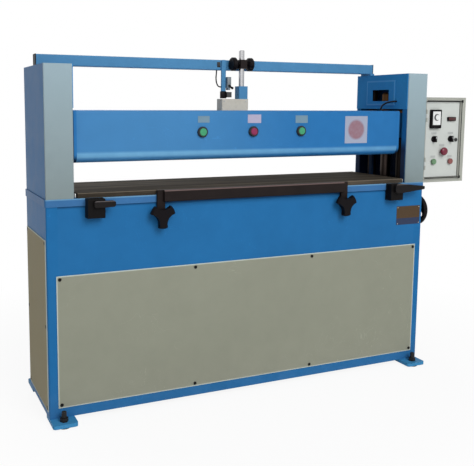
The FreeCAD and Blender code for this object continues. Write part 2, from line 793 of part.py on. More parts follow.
# Cylinders: a blind barrel under each end of the deck, its gland, and the ram that pulls the beam down.
barrels = []
glands = []
rams = []
ram_nuts = []
GLAND_LOW = f"({DECK_LOW} - gland_depth)"
PISTON_TOP = f"({GLAND_LOW} - piston_drop)"
for side in (-1, 1):
    spot = (f"{side} * {COLUMN_X}", "0")
    barrels.append(turned(
        "Z",
        [("0", "0"), ("barrel_radius", "0"), ("barrel_radius", "barrel_length"), ("bore_radius", "barrel_length"),
         ("bore_radius", "barrel_floor"), ("0", "barrel_floor")],
        (*spot, f"{DECK_LOW} - barrel_length"),
    ))
    gland_radius = "bore_radius - gland_gap"
    gland_rise = "(deck_thickness + gland_depth)"
    glands.append(turned(
        "Z",
        [("ram_radius + running_gap", "0"), (gland_radius, "0"), (gland_radius, gland_rise),
         ("gland_flange_radius", gland_rise), ("gland_flange_radius", f"{gland_rise} + gland_flange"),
         ("ram_radius + running_gap", f"{gland_rise} + gland_flange")],
        (*spot, GLAND_LOW),
    ))
    ram_length = f"({LUG_LOW} - {PISTON_TOP} + piston_length)"
    thread_top = f"({ram_length} + lug_height + ram_nut_height - 12)"
    rams.append(turned(
        "Z",
        [("0", "0"), ("bore_radius - piston_gap", "0"), ("bore_radius - piston_gap", "piston_length"),
         ("ram_radius", "piston_length"), ("ram_radius", ram_length), ("ram_end_radius", ram_length),
         ("ram_end_radius", thread_top), ("0", thread_top)],
        (*spot, f"{PISTON_TOP} - piston_length"),
    ))
    ram_nuts.append(turned(
        "Z",
        [("ram_end_radius + running_gap", "0"), ("ram_nut_radius", "0"), ("ram_nut_radius", "ram_nut_height - 10"),
         ("ram_nut_radius - 6", "ram_nut_height"), ("ram_end_radius + running_gap", "ram_nut_height")],
        (*spot, LUG_TOP),
    ))
node("cylinder_barrels", group(*barrels))
node("cylinder_glands", group(*glands))
node("piston_rods", group(*rams))
node("rod_nuts", group(*ram_nuts))

# Beam: a box girder with a thick platen and a broad rounded lower edge, closed by end caps with lugs.
beam_section = [
    (BEAM_FACE, BEAM_LOW), (f"-{BEAM_FACE}", BEAM_LOW), (f"-{BEAM_FACE}", BEAM_TOP), (BEAM_FACE, BEAM_TOP),
]
beam_rounds = [((0, 1), "beam_round"), ((2, 3), "beam_top_round")]
CAP_IN = f"({BEAM_END} - beam_cap)"
PLATEN_TOP = f"({BEAM_LOW} + platen_thickness)"
TOP_LOW = f"({BEAM_TOP} - beam_wall)"
BEAM_BACK = "(beam_depth / 2)"
beam_span = (f"-{CAP_IN}", CAP_IN)
platen = extrusion(
    "YZ_Plane",
    [(BEAM_FACE, BEAM_LOW), (BEAM_BACK, BEAM_LOW), (BEAM_BACK, PLATEN_TOP), (BEAM_FACE, PLATEN_TOP)],
    beam_span,
    [((0, 1), "beam_round")],
)
top_plate = extrusion(
    "YZ_Plane",
    [(BEAM_FACE, TOP_LOW), (BEAM_BACK, TOP_LOW), (BEAM_BACK, BEAM_TOP), (BEAM_FACE, BEAM_TOP)],
    beam_span,
    [((2, 3), "beam_top_round")],
)
front_wall = box(beam_span, (BEAM_FACE, f"{BEAM_FACE} + beam_wall"), (PLATEN_TOP, TOP_LOW))
rear_wall = box(beam_span, (f"{BEAM_BACK} - beam_wall", BEAM_BACK), (PLATEN_TOP, TOP_LOW))
BUTTON_Z = f"({BEAM_LOW} + button_rise)"
button_holes = [
    rod("Y", "stem_radius + running_gap", (f"{spot} * button_pitch", BUTTON_Z), (BEAM_FACE, f"{BEAM_FACE} + beam_wall"))
    for spot in (-1, 0, 1)
]
node("press_beam", group(platen, cut(front_wall, *button_holes), rear_wall, top_plate))

lugs = []
bushes = []
for side in (-1, 1):
    end_cap = extrusion("YZ_Plane", beam_section, sided(side, CAP_IN, BEAM_END), beam_rounds)
    lug = box(sided(side, BEAM_END, f"{BEAM_END} + lug_reach"), ("-lug_half", "lug_half"), (LUG_LOW, LUG_TOP))
    link_faces = sided(side, f"{LINK_X} - link_thickness / 2", f"{LINK_X} + link_thickness / 2")
    link = box(link_faces, ("link_y - link_depth / 2", "link_y + link_depth / 2"), (PIN_HEIGHT, LUG_LOW))
    foot = box(link_faces, (f"{PIN_Y} - crank_pin_radius - link_foot_wall",
                            f"{SHAFT_Y} + crank_radius + crank_pin_radius + link_foot_wall"),
               (f"{PIN_HEIGHT} - link_foot_height / 2", f"{PIN_HEIGHT} + link_foot_height / 2"))
    slot_ends = (f"{PIN_Y} - link_slot_gap", f"{SHAFT_Y} + crank_radius + link_slot_gap")
    slot_radius = "crank_pin_radius + link_slot_gap"
    slot = [rod("X", slot_radius, (y, PIN_HEIGHT), link_faces) for y in slot_ends]
    slot.append(box(link_faces, slot_ends, (f"{PIN_HEIGHT} - crank_pin_radius - link_slot_gap",
                                            f"{PIN_HEIGHT} + crank_pin_radius + link_slot_gap")))
    bores = []
    for end in (-1, 1):
        spot = (f"{side} * {COLUMN_X}", f"{end} * column_spread")
        bores.append(rod("Z", "bush_radius + running_gap", spot, (LUG_LOW, LUG_TOP)))
        bushes.append(turned(
            "Z",
            [("column_radius + running_gap", "0"), ("bush_radius", "0"), ("bush_radius", "lug_height"),
             ("bush_flange_radius", "lug_height"), ("bush_flange_radius", "lug_height + bush_flange"),
             ("column_radius + running_gap", "lug_height + bush_flange")],
            (*spot, LUG_LOW),
        ))
    bores.append(rod("Z", "ram_end_radius + running_gap", (f"{side} * {COLUMN_X}", "0"), (LUG_LOW, LUG_TOP)))
    lugs.append(cut(join(end_cap, lug, link, foot), *slot, *bores))
node("beam_end_lugs", group(*lugs))
node("guide_bushes", group(*bushes))

bezels = []
for spot, label in ((-1, "beam_button_left"), (0, "beam_button_center"), (1, "beam_button_right")):
    middle = f"{spot} * button_pitch"
    bezels.append(turned(
        "Y",
        [("cap_radius + cap_gap", "0"), ("bezel_radius - 3", "0"), ("bezel_radius", "4"), ("bezel_radius", "bezel_depth"),
         ("cap_radius + cap_gap", "bezel_depth")],
        (middle, f"{BEAM_FACE} - bezel_depth", BUTTON_Z),
    ))
    node(label, turned(
        "Y",
        [("0", "0"), ("cap_radius - 2", "0"), ("cap_radius", "2"), ("cap_radius", "cap_thickness"),
         ("stem_radius", "cap_thickness"), ("stem_radius", "cap_thickness + stem_length"),
         ("0", "cap_thickness + stem_length")],
        (middle, f"{BEAM_FACE} - cap_standoff - cap_thickness", BUTTON_Z),
    ))
node("button_bezels", group(*bezels))

switch_sides = ("switch_box_x - switch_box_width / 2", "switch_box_x + switch_box_width / 2")
switch_faces = (f"{SETTER_Y} - switch_box_depth / 2", f"{SETTER_Y} + switch_box_depth / 2")
node("switch_box", extrusion(
    "XY_Plane",
    [(switch_sides[0], switch_faces[0]), (switch_sides[1], switch_faces[0]), (switch_sides[1], switch_faces[1]),
     (switch_sides[0], switch_faces[1])],
    (BEAM_TOP, SWITCH_BOX_TOP),
    [((0, 1, 2, 3), "switch_box_round")],
))

# Balance shaft: a torsion bar through the ribs, with a crank at each end whose pin rides in a link's slot.
CRANK_END = f"({COLUMN_X} - barrel_radius - crank_clear)"
cranks = [rod("X", "shaft_radius", (SHAFT_Y, SHAFT_Z), (f"-{CRANK_END}", CRANK_END))]
lift = math.degrees(math.asin(number("stroke / 2 / crank_radius")))
for side in (-1, 1):
    crank_faces = sided(side, f"{CRANK_END} - crank_thickness", CRANK_END)
    cranks.append(rod("X", "crank_hub_radius", (SHAFT_Y, SHAFT_Z), crank_faces))
    cranks.append(rod("X", "crank_pin_radius * 2", (PIN_Y, PIN_HEIGHT), crank_faces))
    arm = doc.addObject("Part::Box", "arm")
    bind(arm, Length="crank_thickness", Width="crank_radius", Height="crank_pin_radius * 4")
    tilt = FreeCAD.Rotation(FreeCAD.Vector(1, 0, 0), lift)
    half_width = tilt.multVec(FreeCAD.Vector(0, 0, number("crank_pin_radius * 2")))
    arm.Placement = FreeCAD.Placement(
        FreeCAD.Vector(number(f"({crank_faces[0]}) - {ORIGIN_X}"), number(SHAFT_Y), number(SHAFT_Z)) - half_width,
        tilt,
    )
    cranks.append(arm)
    cranks.append(rod("X", "crank_pin_radius", (PIN_Y, PIN_HEIGHT),
                      sided(side, CRANK_END, f"{LINK_X} + link_thickness / 2 + crank_gap")))
node("balance_shaft", join(*cranks))

# Power unit: an oil tank on the cross rails with a motor, bell housing, pump and valve block on its lid.
tank_x = ("tank_center_x - tank_length / 2", "tank_center_x + tank_length / 2")
tank_y = ("-tank_depth / 2", "tank_depth / 2")
TANK_TOP = f"({LID_TOP} - tank_lid)"
TANK_FLOOR = f"({RAIL_TOP} + tank_wall)"
tank_plates = [
    box(tank_x, tank_y, (RAIL_TOP, TANK_FLOOR)),
    box((tank_x[0], f"{tank_x[0]} + tank_wall"), tank_y, (TANK_FLOOR, TANK_TOP)),
    box((f"{tank_x[1]} - tank_wall", tank_x[1]), tank_y, (TANK_FLOOR, TANK_TOP)),
    box((f"{tank_x[0]} + tank_wall", f"{tank_x[1]} - tank_wall"), (tank_y[0], f"{tank_y[0]} + tank_wall"), (TANK_FLOOR, TANK_TOP)),
    box((f"{tank_x[0]} + tank_wall", f"{tank_x[1]} - tank_wall"), (f"{tank_y[1]} - tank_wall", tank_y[1]), (TANK_FLOOR, TANK_TOP)),
    box((f"{tank_x[0]} - tank_lid_lap", f"{tank_x[1]} + tank_lid_lap"),
        (f"{tank_y[0]} - tank_lid_lap", f"{tank_y[1]} + tank_lid_lap"), (TANK_TOP, LID_TOP)),
]
node("oil_tank", group(*tank_plates))

MOTOR_Z = f"({LID_TOP} + motor_axis_rise)"
motor_left = "(motor_x - motor_length / 2)"
motor_right = "(motor_x + motor_length / 2)"
motor_steps = [("0", "0"), ("motor_radius * 0.8", "0"), ("motor_radius", "motor_length * 0.08")]
for fin in range(8):
    start = f"motor_length * {0.14 + 0.09 * fin:.2f}"
    motor_steps += [("motor_radius", start), ("motor_radius - motor_fin_depth", start),
                    ("motor_radius - motor_fin_depth", f"{start} + motor_length * 0.045"),
                    ("motor_radius", f"{start} + motor_length * 0.045")]
motor_steps += [("motor_radius", "motor_length"), ("0", "motor_length")]
motor_case = turned("X", motor_steps, (motor_left, "0", MOTOR_Z))
motor_foot = box((f"{motor_left} + motor_length / 5", f"{motor_right} - motor_length / 5"),
                 ("-motor_radius * 0.8", "motor_radius * 0.8"), (LID_TOP, f"{LID_TOP} + motor_foot"))
motor_stand = box((f"{motor_left} + motor_length / 4", f"{motor_right} - motor_length / 4"),
                  ("-motor_radius * 0.5", "motor_radius * 0.5"), (LID_TOP, MOTOR_Z))
pump_case = turned(
    "X",
    [("0", "0"), ("bell_radius", "0"), ("bell_radius", "bell_length * 0.2"), ("bell_radius * 0.85", "bell_length * 0.25"),
     ("bell_radius * 0.85", "bell_length"), ("pump_radius", "bell_length"), ("pump_radius", "bell_length + pump_length"),
     ("0", "bell_length + pump_length")],
    (motor_right, "0", MOTOR_Z),
)
node("pump_motor", group(join(motor_case, motor_foot, motor_stand), pump_case))

manifold_x = ("manifold_x - manifold_length / 2", "manifold_x + manifold_length / 2")
MANIFOLD_TOP = f"({LID_TOP} + manifold_height)"
valve_parts = [box(manifold_x, ("-manifold_depth / 2", "manifold_depth / 2"), (LID_TOP, MANIFOLD_TOP))]
for spot in (-0.5, 0.5):
    valve_parts.append(rod("Y", "coil_radius", (f"manifold_x + {spot} * coil_pitch * 0.8", f"{LID_TOP} + manifold_height * 0.55"),
                           ("-manifold_depth / 2 - coil_length", "manifold_depth / 2 + coil_length")))
node("valve_manifold", join(*valve_parts))

pipes = []
PORT_Z = f"({DECK_LOW} - pipe_port_drop)"
for side in (-1, 1):
    riser = f"{side} * ({COLUMN_X} - barrel_radius - pipe_riser_gap)"
    start = f"manifold_x + {side} * manifold_length / 4"
    pipes.append(tube(
        [(start, "0", MANIFOLD_TOP), (start, "0", PIPE_Z), (riser, "0", PIPE_Z), (riser, "0", PORT_Z),
         (f"{side} * ({COLUMN_X} - barrel_radius)", "0", PORT_Z)],
        "pipe_radius", "pipe_bend",
    ))
node("pressure_pipes", group(*pipes))

# Pressure setting: a relief valve inside the right end frame and its handwheel outside.
VALVE_LEFT = f"({HALF} - end_plate - valve_length)"
valve_body = box((VALVE_LEFT, f"{HALF} - end_plate"), ("wheel_y - valve_side / 2", "wheel_y + valve_side / 2"),
                 (f"{WHEEL_Z} - valve_side / 2", f"{WHEEL_Z} + valve_side / 2"))
valve_bore = rod("X", "spindle_radius + running_gap", ("wheel_y", WHEEL_Z),
                 (f"{VALVE_LEFT} + valve_length / 3", f"{HALF} - end_plate"))
node("relief_valve", cut(valve_body, valve_bore))
spindle = "(end_plate + valve_length / 2 + wheel_standoff)"
wheel = turned(
    "X",
    [("0", "0"), ("spindle_radius", "0"), ("spindle_radius", spindle), ("wheel_hub_radius", spindle),
     ("wheel_hub_radius", f"{spindle} + wheel_depth * 0.3"), ("wheel_radius - wheel_rim", f"{spindle} + wheel_depth * 0.3"),
     ("wheel_radius - wheel_rim", f"{spindle} + wheel_depth * 0.1"), ("wheel_radius - 4", spindle),
     ("wheel_radius", f"{spindle} + wheel_depth * 0.2"), ("wheel_radius", f"{spindle} + wheel_depth * 0.6"),
     ("wheel_radius - 4", f"{spindle} + wheel_depth * 0.8"),
     ("wheel_radius - wheel_rim", f"{spindle} + wheel_depth * 0.7"),
     ("wheel_radius - wheel_rim", f"{spindle} + wheel_depth * 0.3 + wheel_web"),
     ("wheel_hub_radius", f"{spindle} + wheel_depth * 0.3 + wheel_web"), ("wheel_hub_radius", f"{spindle} + wheel_depth"),
     ("0", f"{spindle} + wheel_depth")],
    (f"{HALF} - end_plate - valve_length / 2", "wheel_y", WHEEL_Z),
)
wheel_holes = []
for hole in range(3):
    angle = math.radians(90 + 120 * hole)
    reach = "(wheel_radius - wheel_rim + wheel_hub_radius) / 2"
    wheel_holes.append(rod("X", "wheel_hole_radius", (f"wheel_y + {reach} * {math.cos(angle):.6f}",
                                                      f"{WHEEL_Z} + {reach} * {math.sin(angle):.6f}"),
                           (HALF, f"{HALF} + wheel_standoff + wheel_depth")))
node("pressure_handwheel", cut(wheel, *wheel_holes))

# Crossbar: a square tube on two feet across the tower caps.
bar_x = (f"-{HALF} + bar_left_inset", f"{TOWER_IN} + bar_right_lap")
bar_y = ("bar_front", "bar_front + bar_depth")
bar = extrusion(
    "YZ_Plane",
    [(bar_y[0], BAR_LOW), (bar_y[1], BAR_LOW), (bar_y[1], BAR_TOP), (bar_y[0], BAR_TOP)],
    bar_x,
    [((0, 1, 2, 3), "bar_round")],
)
hollow = box((f"{bar_x[0]} + bar_wall", bar_x[1]), ("bar_front + bar_wall", "bar_front + bar_depth - bar_wall"),
             (f"{BAR_LOW} + bar_wall", f"{BAR_TOP} - bar_wall"))
bar_feet = [
    box(span, ("bar_front - bar_foot_lap", "bar_front + bar_depth + bar_foot_lap"), (TOWER_TOP, f"{BAR_LOW} + bar_wall / 2"))
    for span in ((f"{bar_x[0]} + bar_foot_width / 2", f"{bar_x[0]} + bar_foot_width * 1.5"),
                 (f"{bar_x[1]} - bar_foot_width", bar_x[1]))
]
node("top_crossbar", cut(join(bar, *bar_feet), hollow))

# Stroke setter: a clamp on the bar holds a rod whose foot meets the switch box on the beam.
clamp_x = ("setter_x - clamp_width / 2", "setter_x + clamp_width / 2")
clamp_block = extrusion(
    "XY_Plane",
    [(clamp_x[0], "bar_front - clamp_depth"), (clamp_x[1], "bar_front - clamp_depth"), (clamp_x[1], "bar_front"),
     (clamp_x[0], "bar_front")],
    (CLAMP_LOW, BAR_TOP),
    [((0, 1), "setter_block_round")],
)
rod_bore = rod("Z", "setter_rod_radius + running_gap", ("setter_x", SETTER_Y), (CLAMP_LOW, BAR_TOP))
screw_bores = [rod("X", "star_stud_radius + running_gap", (SETTER_Y, KNOB_HEIGHT), span) for span in (
    (clamp_x[0], "setter_x - setter_rod_radius"), ("setter_x + setter_rod_radius", clamp_x[1]))]
node("rod_clamp", cut(clamp_block, rod_bore, *screw_bores))

for side, label in ((-1, "left_star_knob"), (1, "right_star_knob")):
    seat = f"(setter_x + {side} * clamp_width / 2)"
    far = "star_thickness + star_stud_length"
    bore_reach = "(clamp_width / 2 - setter_rod_radius)"
    profile = [("0", f"-{bore_reach} + 1"), ("star_stud_radius", f"-{bore_reach} + 1"), ("star_stud_radius", "star_stud_length"),
               ("star_radius * 0.55", "star_stud_length"), ("star_radius - 4", "star_stud_length + 5"),
               ("star_radius", "star_stud_length + 9"), ("star_radius", f"{far} - 4"), ("star_radius - 4", far), ("0", far)]
    if side < 0:
        profile = [(radius, f"-({along})") for radius, along in profile]
    disc = turned("X", profile, (seat, SETTER_Y, KNOB_HEIGHT))
    scallops = []
    for lobe in range(6):
        angle = math.radians(30 + 60 * lobe)
        scallops.append(rod(
            "X", "star_scallop_radius",
            (f"{SETTER_Y} + star_scallop_offset * {math.cos(angle):.6f}",
             f"{KNOB_HEIGHT} + star_scallop_offset * {math.sin(angle):.6f}"),
            (f"{seat} - {far}", seat) if side < 0 else (seat, f"{seat} + {far}"),
        ))
    node(label, cut(disc, *scallops))

BLOCK_TOP = f"({SWITCH_BOX_TOP} + setter_block_height)"
block_x = ("setter_x - setter_block_side / 2", "setter_x + setter_block_side / 2")
block_y = (f"{SETTER_Y} - setter_block_side / 2", f"{SETTER_Y} + setter_block_side / 2")
node("rod_foot_block", extrusion(
    "XY_Plane",
    [(block_x[0], block_y[0]), (block_x[1], block_y[0]), (block_x[1], block_y[1]), (block_x[0], block_y[1])],
    (SWITCH_BOX_TOP, BLOCK_TOP),
    [((0, 1, 2, 3), "setter_block_round")],
))
node("setting_rod", turned(
    "Z",
    [("0", "0"), ("setter_rod_radius", "0"), ("setter_rod_radius", "setter_rod_length - 2"),
     ("setter_rod_radius - 2", "setter_rod_length"), ("0", "setter_rod_length")],
    ("setter_x", SETTER_Y, BLOCK_TOP),
))

# Limit switches: a flat post hangs from the bar and carries two switches, the upper one with a roller lever.
node("switch_post", extrusion(
    "XZ_Plane",
    [("post_x - post_width / 2", POST_LOW), (POST_RIGHT, POST_LOW), (POST_RIGHT, BAR_TOP), ("post_x - post_width / 2", BAR_TOP)],
    (POST_FRONT, "bar_front"),
    [((0, 1, 2, 3), "post_width / 5")],
))
switch_y = ("bar_front - switch_depth", "bar_front - 1")
SWITCH_ROOM = f"({KNOB_HEIGHT} - star_radius - {POST_LOW})"
UPPER_LOW = f"({POST_LOW} + {SWITCH_ROOM} * 0.38)"
UPPER_RISE = f"({SWITCH_ROOM} * 0.4)"
upper_body = box((POST_RIGHT, f"{POST_RIGHT} + switch_width * 0.7"), switch_y, (UPPER_LOW, f"{UPPER_LOW} + {UPPER_RISE}"))
upper_neck = box((f"{POST_RIGHT} + switch_width * 0.15", f"{POST_RIGHT} + switch_width * 0.55"), switch_y,
                 (f"{UPPER_LOW} - {UPPER_RISE} / 5", UPPER_LOW))
LOWER_LOW = f"({POST_LOW} + {SWITCH_ROOM} * 0.03)"
lower_body = box((POST_RIGHT, f"{POST_RIGHT} + switch_width * 0.8"), switch_y, (LOWER_LOW, f"{LOWER_LOW} + {SWITCH_ROOM} * 0.2"))
LEVER_PIVOT = (f"{POST_RIGHT} + switch_width * 0.35", f"{UPPER_LOW} + {UPPER_RISE} / 5")
pivot_bore = rod("Y", "star_stud_radius / 2 + running_gap", LEVER_PIVOT, (switch_y[0], f"{switch_y[0]} + switch_depth / 2"))
node("limit_switches", group(cut(join(upper_body, upper_neck), pivot_bore), lower_body))
ROLLER = (f"{LEVER_PIVOT[0]} + roller_arm * 0.8", f"{LEVER_PIVOT[1]} - roller_arm * 0.6")
lever_y = (f"{switch_y[0]} - roller_radius", f"{switch_y[0]} - 0.3")
lever_arm = extrusion(
    "XZ_Plane",
    [(f"{LEVER_PIVOT[0]} - 2.4", f"{LEVER_PIVOT[1]} - 3.2"), (f"{ROLLER[0]} - 2.4", f"{ROLLER[1]} - 3.2"),
     (f"{ROLLER[0]} + 2.4", f"{ROLLER[1]} + 3.2"), (f"{LEVER_PIVOT[0]} + 2.4", f"{LEVER_PIVOT[1]} + 3.2")],
    (f"{switch_y[0]} - roller_radius / 2", lever_y[1]),
)
node("switch_lever", join(
    lever_arm,
    rod("Y", "roller_radius", ROLLER, (lever_y[0], f"{switch_y[0]} - roller_radius / 3")),
    rod("Y", "star_stud_radius", LEVER_PIVOT, lever_y),
    rod("Y", "star_stud_radius / 2", LEVER_PIVOT, (lever_y[0], f"{switch_y[0]} + switch_depth / 2 - 1")),
))
POST_LEFT = "(post_x - post_width / 2)"
CABLE_Y = "(bar_front - post_thickness / 2)"
CABLE_DROP = f"(({BAR_LOW} - {POST_LOW}) * 0.6)"
node("switch_cable", tube(
    [(f"{POST_LEFT} - 18", f"{CABLE_Y} + 14", BAR_LOW), (f"{POST_LEFT} - 18", f"{CABLE_Y} + 14", f"{BAR_LOW} - 14"),
     (f"{POST_LEFT} - 26", f"{CABLE_Y} + 3", f"{BAR_LOW} - {CABLE_DROP} * 0.44"),
     (f"{POST_LEFT} - 25", CABLE_Y, f"{BAR_LOW} - {CABLE_DROP} * 0.75"),
     (f"{POST_LEFT} - 15", CABLE_Y, f"{BAR_LOW} - {CABLE_DROP}"), (POST_LEFT, CABLE_Y, f"{BAR_LOW} - {CABLE_DROP}")],
    "cable_radius",
))

# Beam cable: a short lead from the beam's top to the right tower's inner guard.
CABLE_END_X = f"({TOWER_IN} - guard_thickness)"
node("beam_cable", tube(
    [(f"{CABLE_END_X} - 44", "-60", BEAM_TOP), (f"{CABLE_END_X} - 44", "-60", f"{BEAM_TOP} + 18"),
     (f"{CABLE_END_X} - 36", "-84", f"{BEAM_TOP} + 38"), (f"{CABLE_END_X} - 20", "-122", f"{BEAM_TOP} + 46"),
     (CABLE_END_X, "-122", f"{BEAM_TOP} + 46")],
    "beam_cable_radius",
))

# Control box: a sheet-steel case on two stand-offs beside the right tower, with an inset hinged door.
case = box((BOX_LEFT, BOX_RIGHT), (BOX_FACE, f"{BOX_FACE} + box_depth"), (BOX_LOW, BOX_TOP))
inside = box((f"{BOX_LEFT} + box_sheet", f"{BOX_RIGHT} - box_sheet"),
             (f"{BOX_FACE} + box_sheet", f"{BOX_FACE} + box_depth - box_sheet"),
             (f"{BOX_LOW} + box_sheet", f"{BOX_TOP} - box_sheet"))
doorway = box((DOOR_LEFT, DOOR_RIGHT), (BOX_FACE, f"{BOX_FACE} + box_sheet"), (DOOR_LOW, DOOR_HIGH))
standoffs = [
    box((HALF, BOX_LEFT), (f"{BOX_FACE} + box_depth - 2 * standoff_side", f"{BOX_FACE} + box_depth - standoff_side"),
        (low, f"{low} + standoff_side"))
    for low in (f"({BOX_LOW} + standoff_inset)", f"({BOX_TOP} - standoff_inset - standoff_side)")
]
HINGE_X = f"({DOOR_LEFT} - hinge_radius / 2)"
HINGE_Y = f"({BOX_FACE} - hinge_radius)"
door_hinges = []
box_hinges = []
hinge_gaps = []
for low in (f"({DOOR_LOW} + hinge_inset)", f"({DOOR_HIGH} - hinge_inset - hinge_length)"):
    third = "hinge_length / 3"
    top = f"({low} + hinge_length)"
    box_hinges.append(rod("Z", "hinge_pin_radius", (HINGE_X, HINGE_Y), (low, top)))
    for start in (low, f"{low} + 2 * {third}"):
        box_hinges.append(rod("Z", "hinge_radius", (HINGE_X, HINGE_Y), (start, f"{start} + {third}")))
        box_hinges.append(box((f"{HINGE_X} - hinge_leaf_width", HINGE_X), (f"{BOX_FACE} - hinge_leaf", BOX_FACE),
                              (start, f"{start} + {third}")))
    span = (f"{low} + {third} + 0.3", f"{low} + 2 * {third} - 0.3")
    door_hinges.append(cut(
        join(rod("Z", "hinge_radius", (HINGE_X, HINGE_Y), span),
             box((HINGE_X, f"{HINGE_X} + hinge_leaf_width"), (f"{BOX_FACE} - hinge_leaf", BOX_FACE), span),
             box((f"{DOOR_LEFT} + door_gap", f"{HINGE_X} + hinge_leaf_width"), (BOX_FACE, DOOR_FACE), span)),
        rod("Z", "hinge_pin_radius + running_gap", (HINGE_X, HINGE_Y), span),
    ))
node("control_box", join(cut(case, inside, doorway), *standoffs, *box_hinges))

door_x = (f"{DOOR_LEFT} + door_gap", f"{DOOR_RIGHT} - door_gap")
door_z = (f"{DOOR_LOW} + door_gap", f"{DOOR_HIGH} - door_gap")
DOOR_BACK = f"({DOOR_FACE} + box_sheet)"
door_tray = cut(
    box(door_x, (DOOR_FACE, f"{DOOR_FACE} + door_edge"), door_z),
    box((f"{door_x[0]} + box_sheet", f"{door_x[1]} - box_sheet"), (DOOR_BACK, f"{DOOR_FACE} + door_edge"),
        (f"{door_z[0]} + box_sheet", f"{door_z[1]} - box_sheet")),
)
LEFT_ROW = f"({DOOR_MIDDLE} - control_pitch / 2)"
RIGHT_ROW = f"({DOOR_MIDDLE} + control_pitch / 2)"
SELECTOR_Z = f"({BOX_LOW} + selector_rise)"
STOP_Z = f"({BOX_LOW} + stop_rise)"
PUSH_Z = f"({BOX_LOW} + push_rise)"
LATCH = (f"({door_x[1]} - latch_inset)", f"({BOX_LOW} + latch_rise)")
stem_spots = [(LEFT_ROW, SELECTOR_Z), (RIGHT_ROW, SELECTOR_Z), (DOOR_MIDDLE, STOP_Z), (LEFT_ROW, PUSH_Z), (RIGHT_ROW, PUSH_Z), LATCH]
stem_holes = [rod("Y", "door_stem_radius + running_gap", spot, (DOOR_FACE, DOOR_BACK)) for spot in stem_spots]
node("box_door", cut(join(door_tray, *door_hinges), *stem_holes))

TIMER_Z = f"({BOX_LOW} + timer_rise)"
timer_x = (f"{LEFT_ROW} - timer_width / 2", f"{LEFT_ROW} + timer_width / 2")
timer_z = (f"{TIMER_Z} - timer_height / 2", f"{TIMER_Z} + timer_height / 2")
timer_case = extrusion(
    "XZ_Plane",
    [(timer_x[0], timer_z[0]), (timer_x[1], timer_z[0]), (timer_x[1], timer_z[1]), (timer_x[0], timer_z[1])],
    (f"{DOOR_FACE} - timer_depth", DOOR_FACE),
    [((0, 1, 2, 3), "timer_round")],
)
lamp_case = extrusion(
    "XZ_Plane",
    [(f"{RIGHT_ROW} - lamp_width / 2", f"{TIMER_Z} - lamp_height / 2"), (f"{RIGHT_ROW} + lamp_width / 2", f"{TIMER_Z} - lamp_height / 2"),
     (f"{RIGHT_ROW} + lamp_width / 2", f"{TIMER_Z} + lamp_height / 2"), (f"{RIGHT_ROW} - lamp_width / 2", f"{TIMER_Z} + lamp_height / 2")],
    (f"{DOOR_FACE} - lamp_depth", DOOR_FACE),
    [((0, 1, 2, 3), "timer_round")],
)
node("door_instruments", group(timer_case, lamp_case))


def control(label, spot, head, standoff):
    """A turned control on the door: head is its half section from the tip, standoff its gap to the door."""
    depth = head[-1][1]
    steps = [("0", "0"), *head, ("door_stem_radius", depth), ("door_stem_radius", f"{depth} + {standoff} + box_sheet + 6"),
             ("0", f"{depth} + {standoff} + box_sheet + 6")]
    return turned("Y", steps, (spot[0], f"{DOOR_FACE} - ({standoff}) - ({depth})", spot[1]))


for label, spot in (("left_selector", (LEFT_ROW, SELECTOR_Z)), ("right_selector", (RIGHT_ROW, SELECTOR_Z))):
    dial = control(label, spot, [("selector_radius - 2", "0"), ("selector_radius", "2"), ("selector_radius", "8")], "0.3")
    grip = box((f"{spot[0]} - selector_bar / 2", f"{spot[0]} + selector_bar / 2"),
               (f"{DOOR_FACE} - 20", f"{DOOR_FACE} - 7"), (f"{spot[1]} - selector_radius", f"{spot[1]} + selector_radius"))
    node(label, join(dial, grip))
mushroom = [("mushroom_radius * 0.6", "0"), ("mushroom_radius * 0.9", "3"), ("mushroom_radius", "7"), ("mushroom_radius", "12"),
            ("mushroom_radius * 0.6", "16"), ("mushroom_radius * 0.6", "24")]
node("emergency_stop", control("emergency_stop", (DOOR_MIDDLE, STOP_Z), mushroom, "5"))
push = [("push_radius - 2", "0"), ("push_radius", "2"), ("push_radius", "9")]
node("start_button", control("start_button", (LEFT_ROW, PUSH_Z), push, "5"))
node("stop_button", control("stop_button", (RIGHT_ROW, PUSH_Z), push, "5"))
node("door_latch", control("door_latch", LATCH, [("latch_radius - 2", "0"), ("latch_radius", "2"), ("latch_radius", "6")], "0.3"))

# Write every sub-part once the whole document is sound.
doc.recompute()
for piece in doc.Objects:
    if {"Invalid", "Error"} & set(piece.State):
        raise RuntimeError(f"{piece.Label} ({piece.Name}) did not build: {piece.State}")
for piece in nodes:
    if piece.Shape.isNull() or not piece.Shape.isValid():
        raise RuntimeError(f"{piece.Label} has no sound shape")
os.makedirs("parts", exist_ok=True)
for piece in nodes:
    piece.Shape.exportStep(f"parts/{piece.Label}.step")
print(f"{len(nodes)} sub-parts written")
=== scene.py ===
import math

import bpy
from mathutils import Matrix, Vector


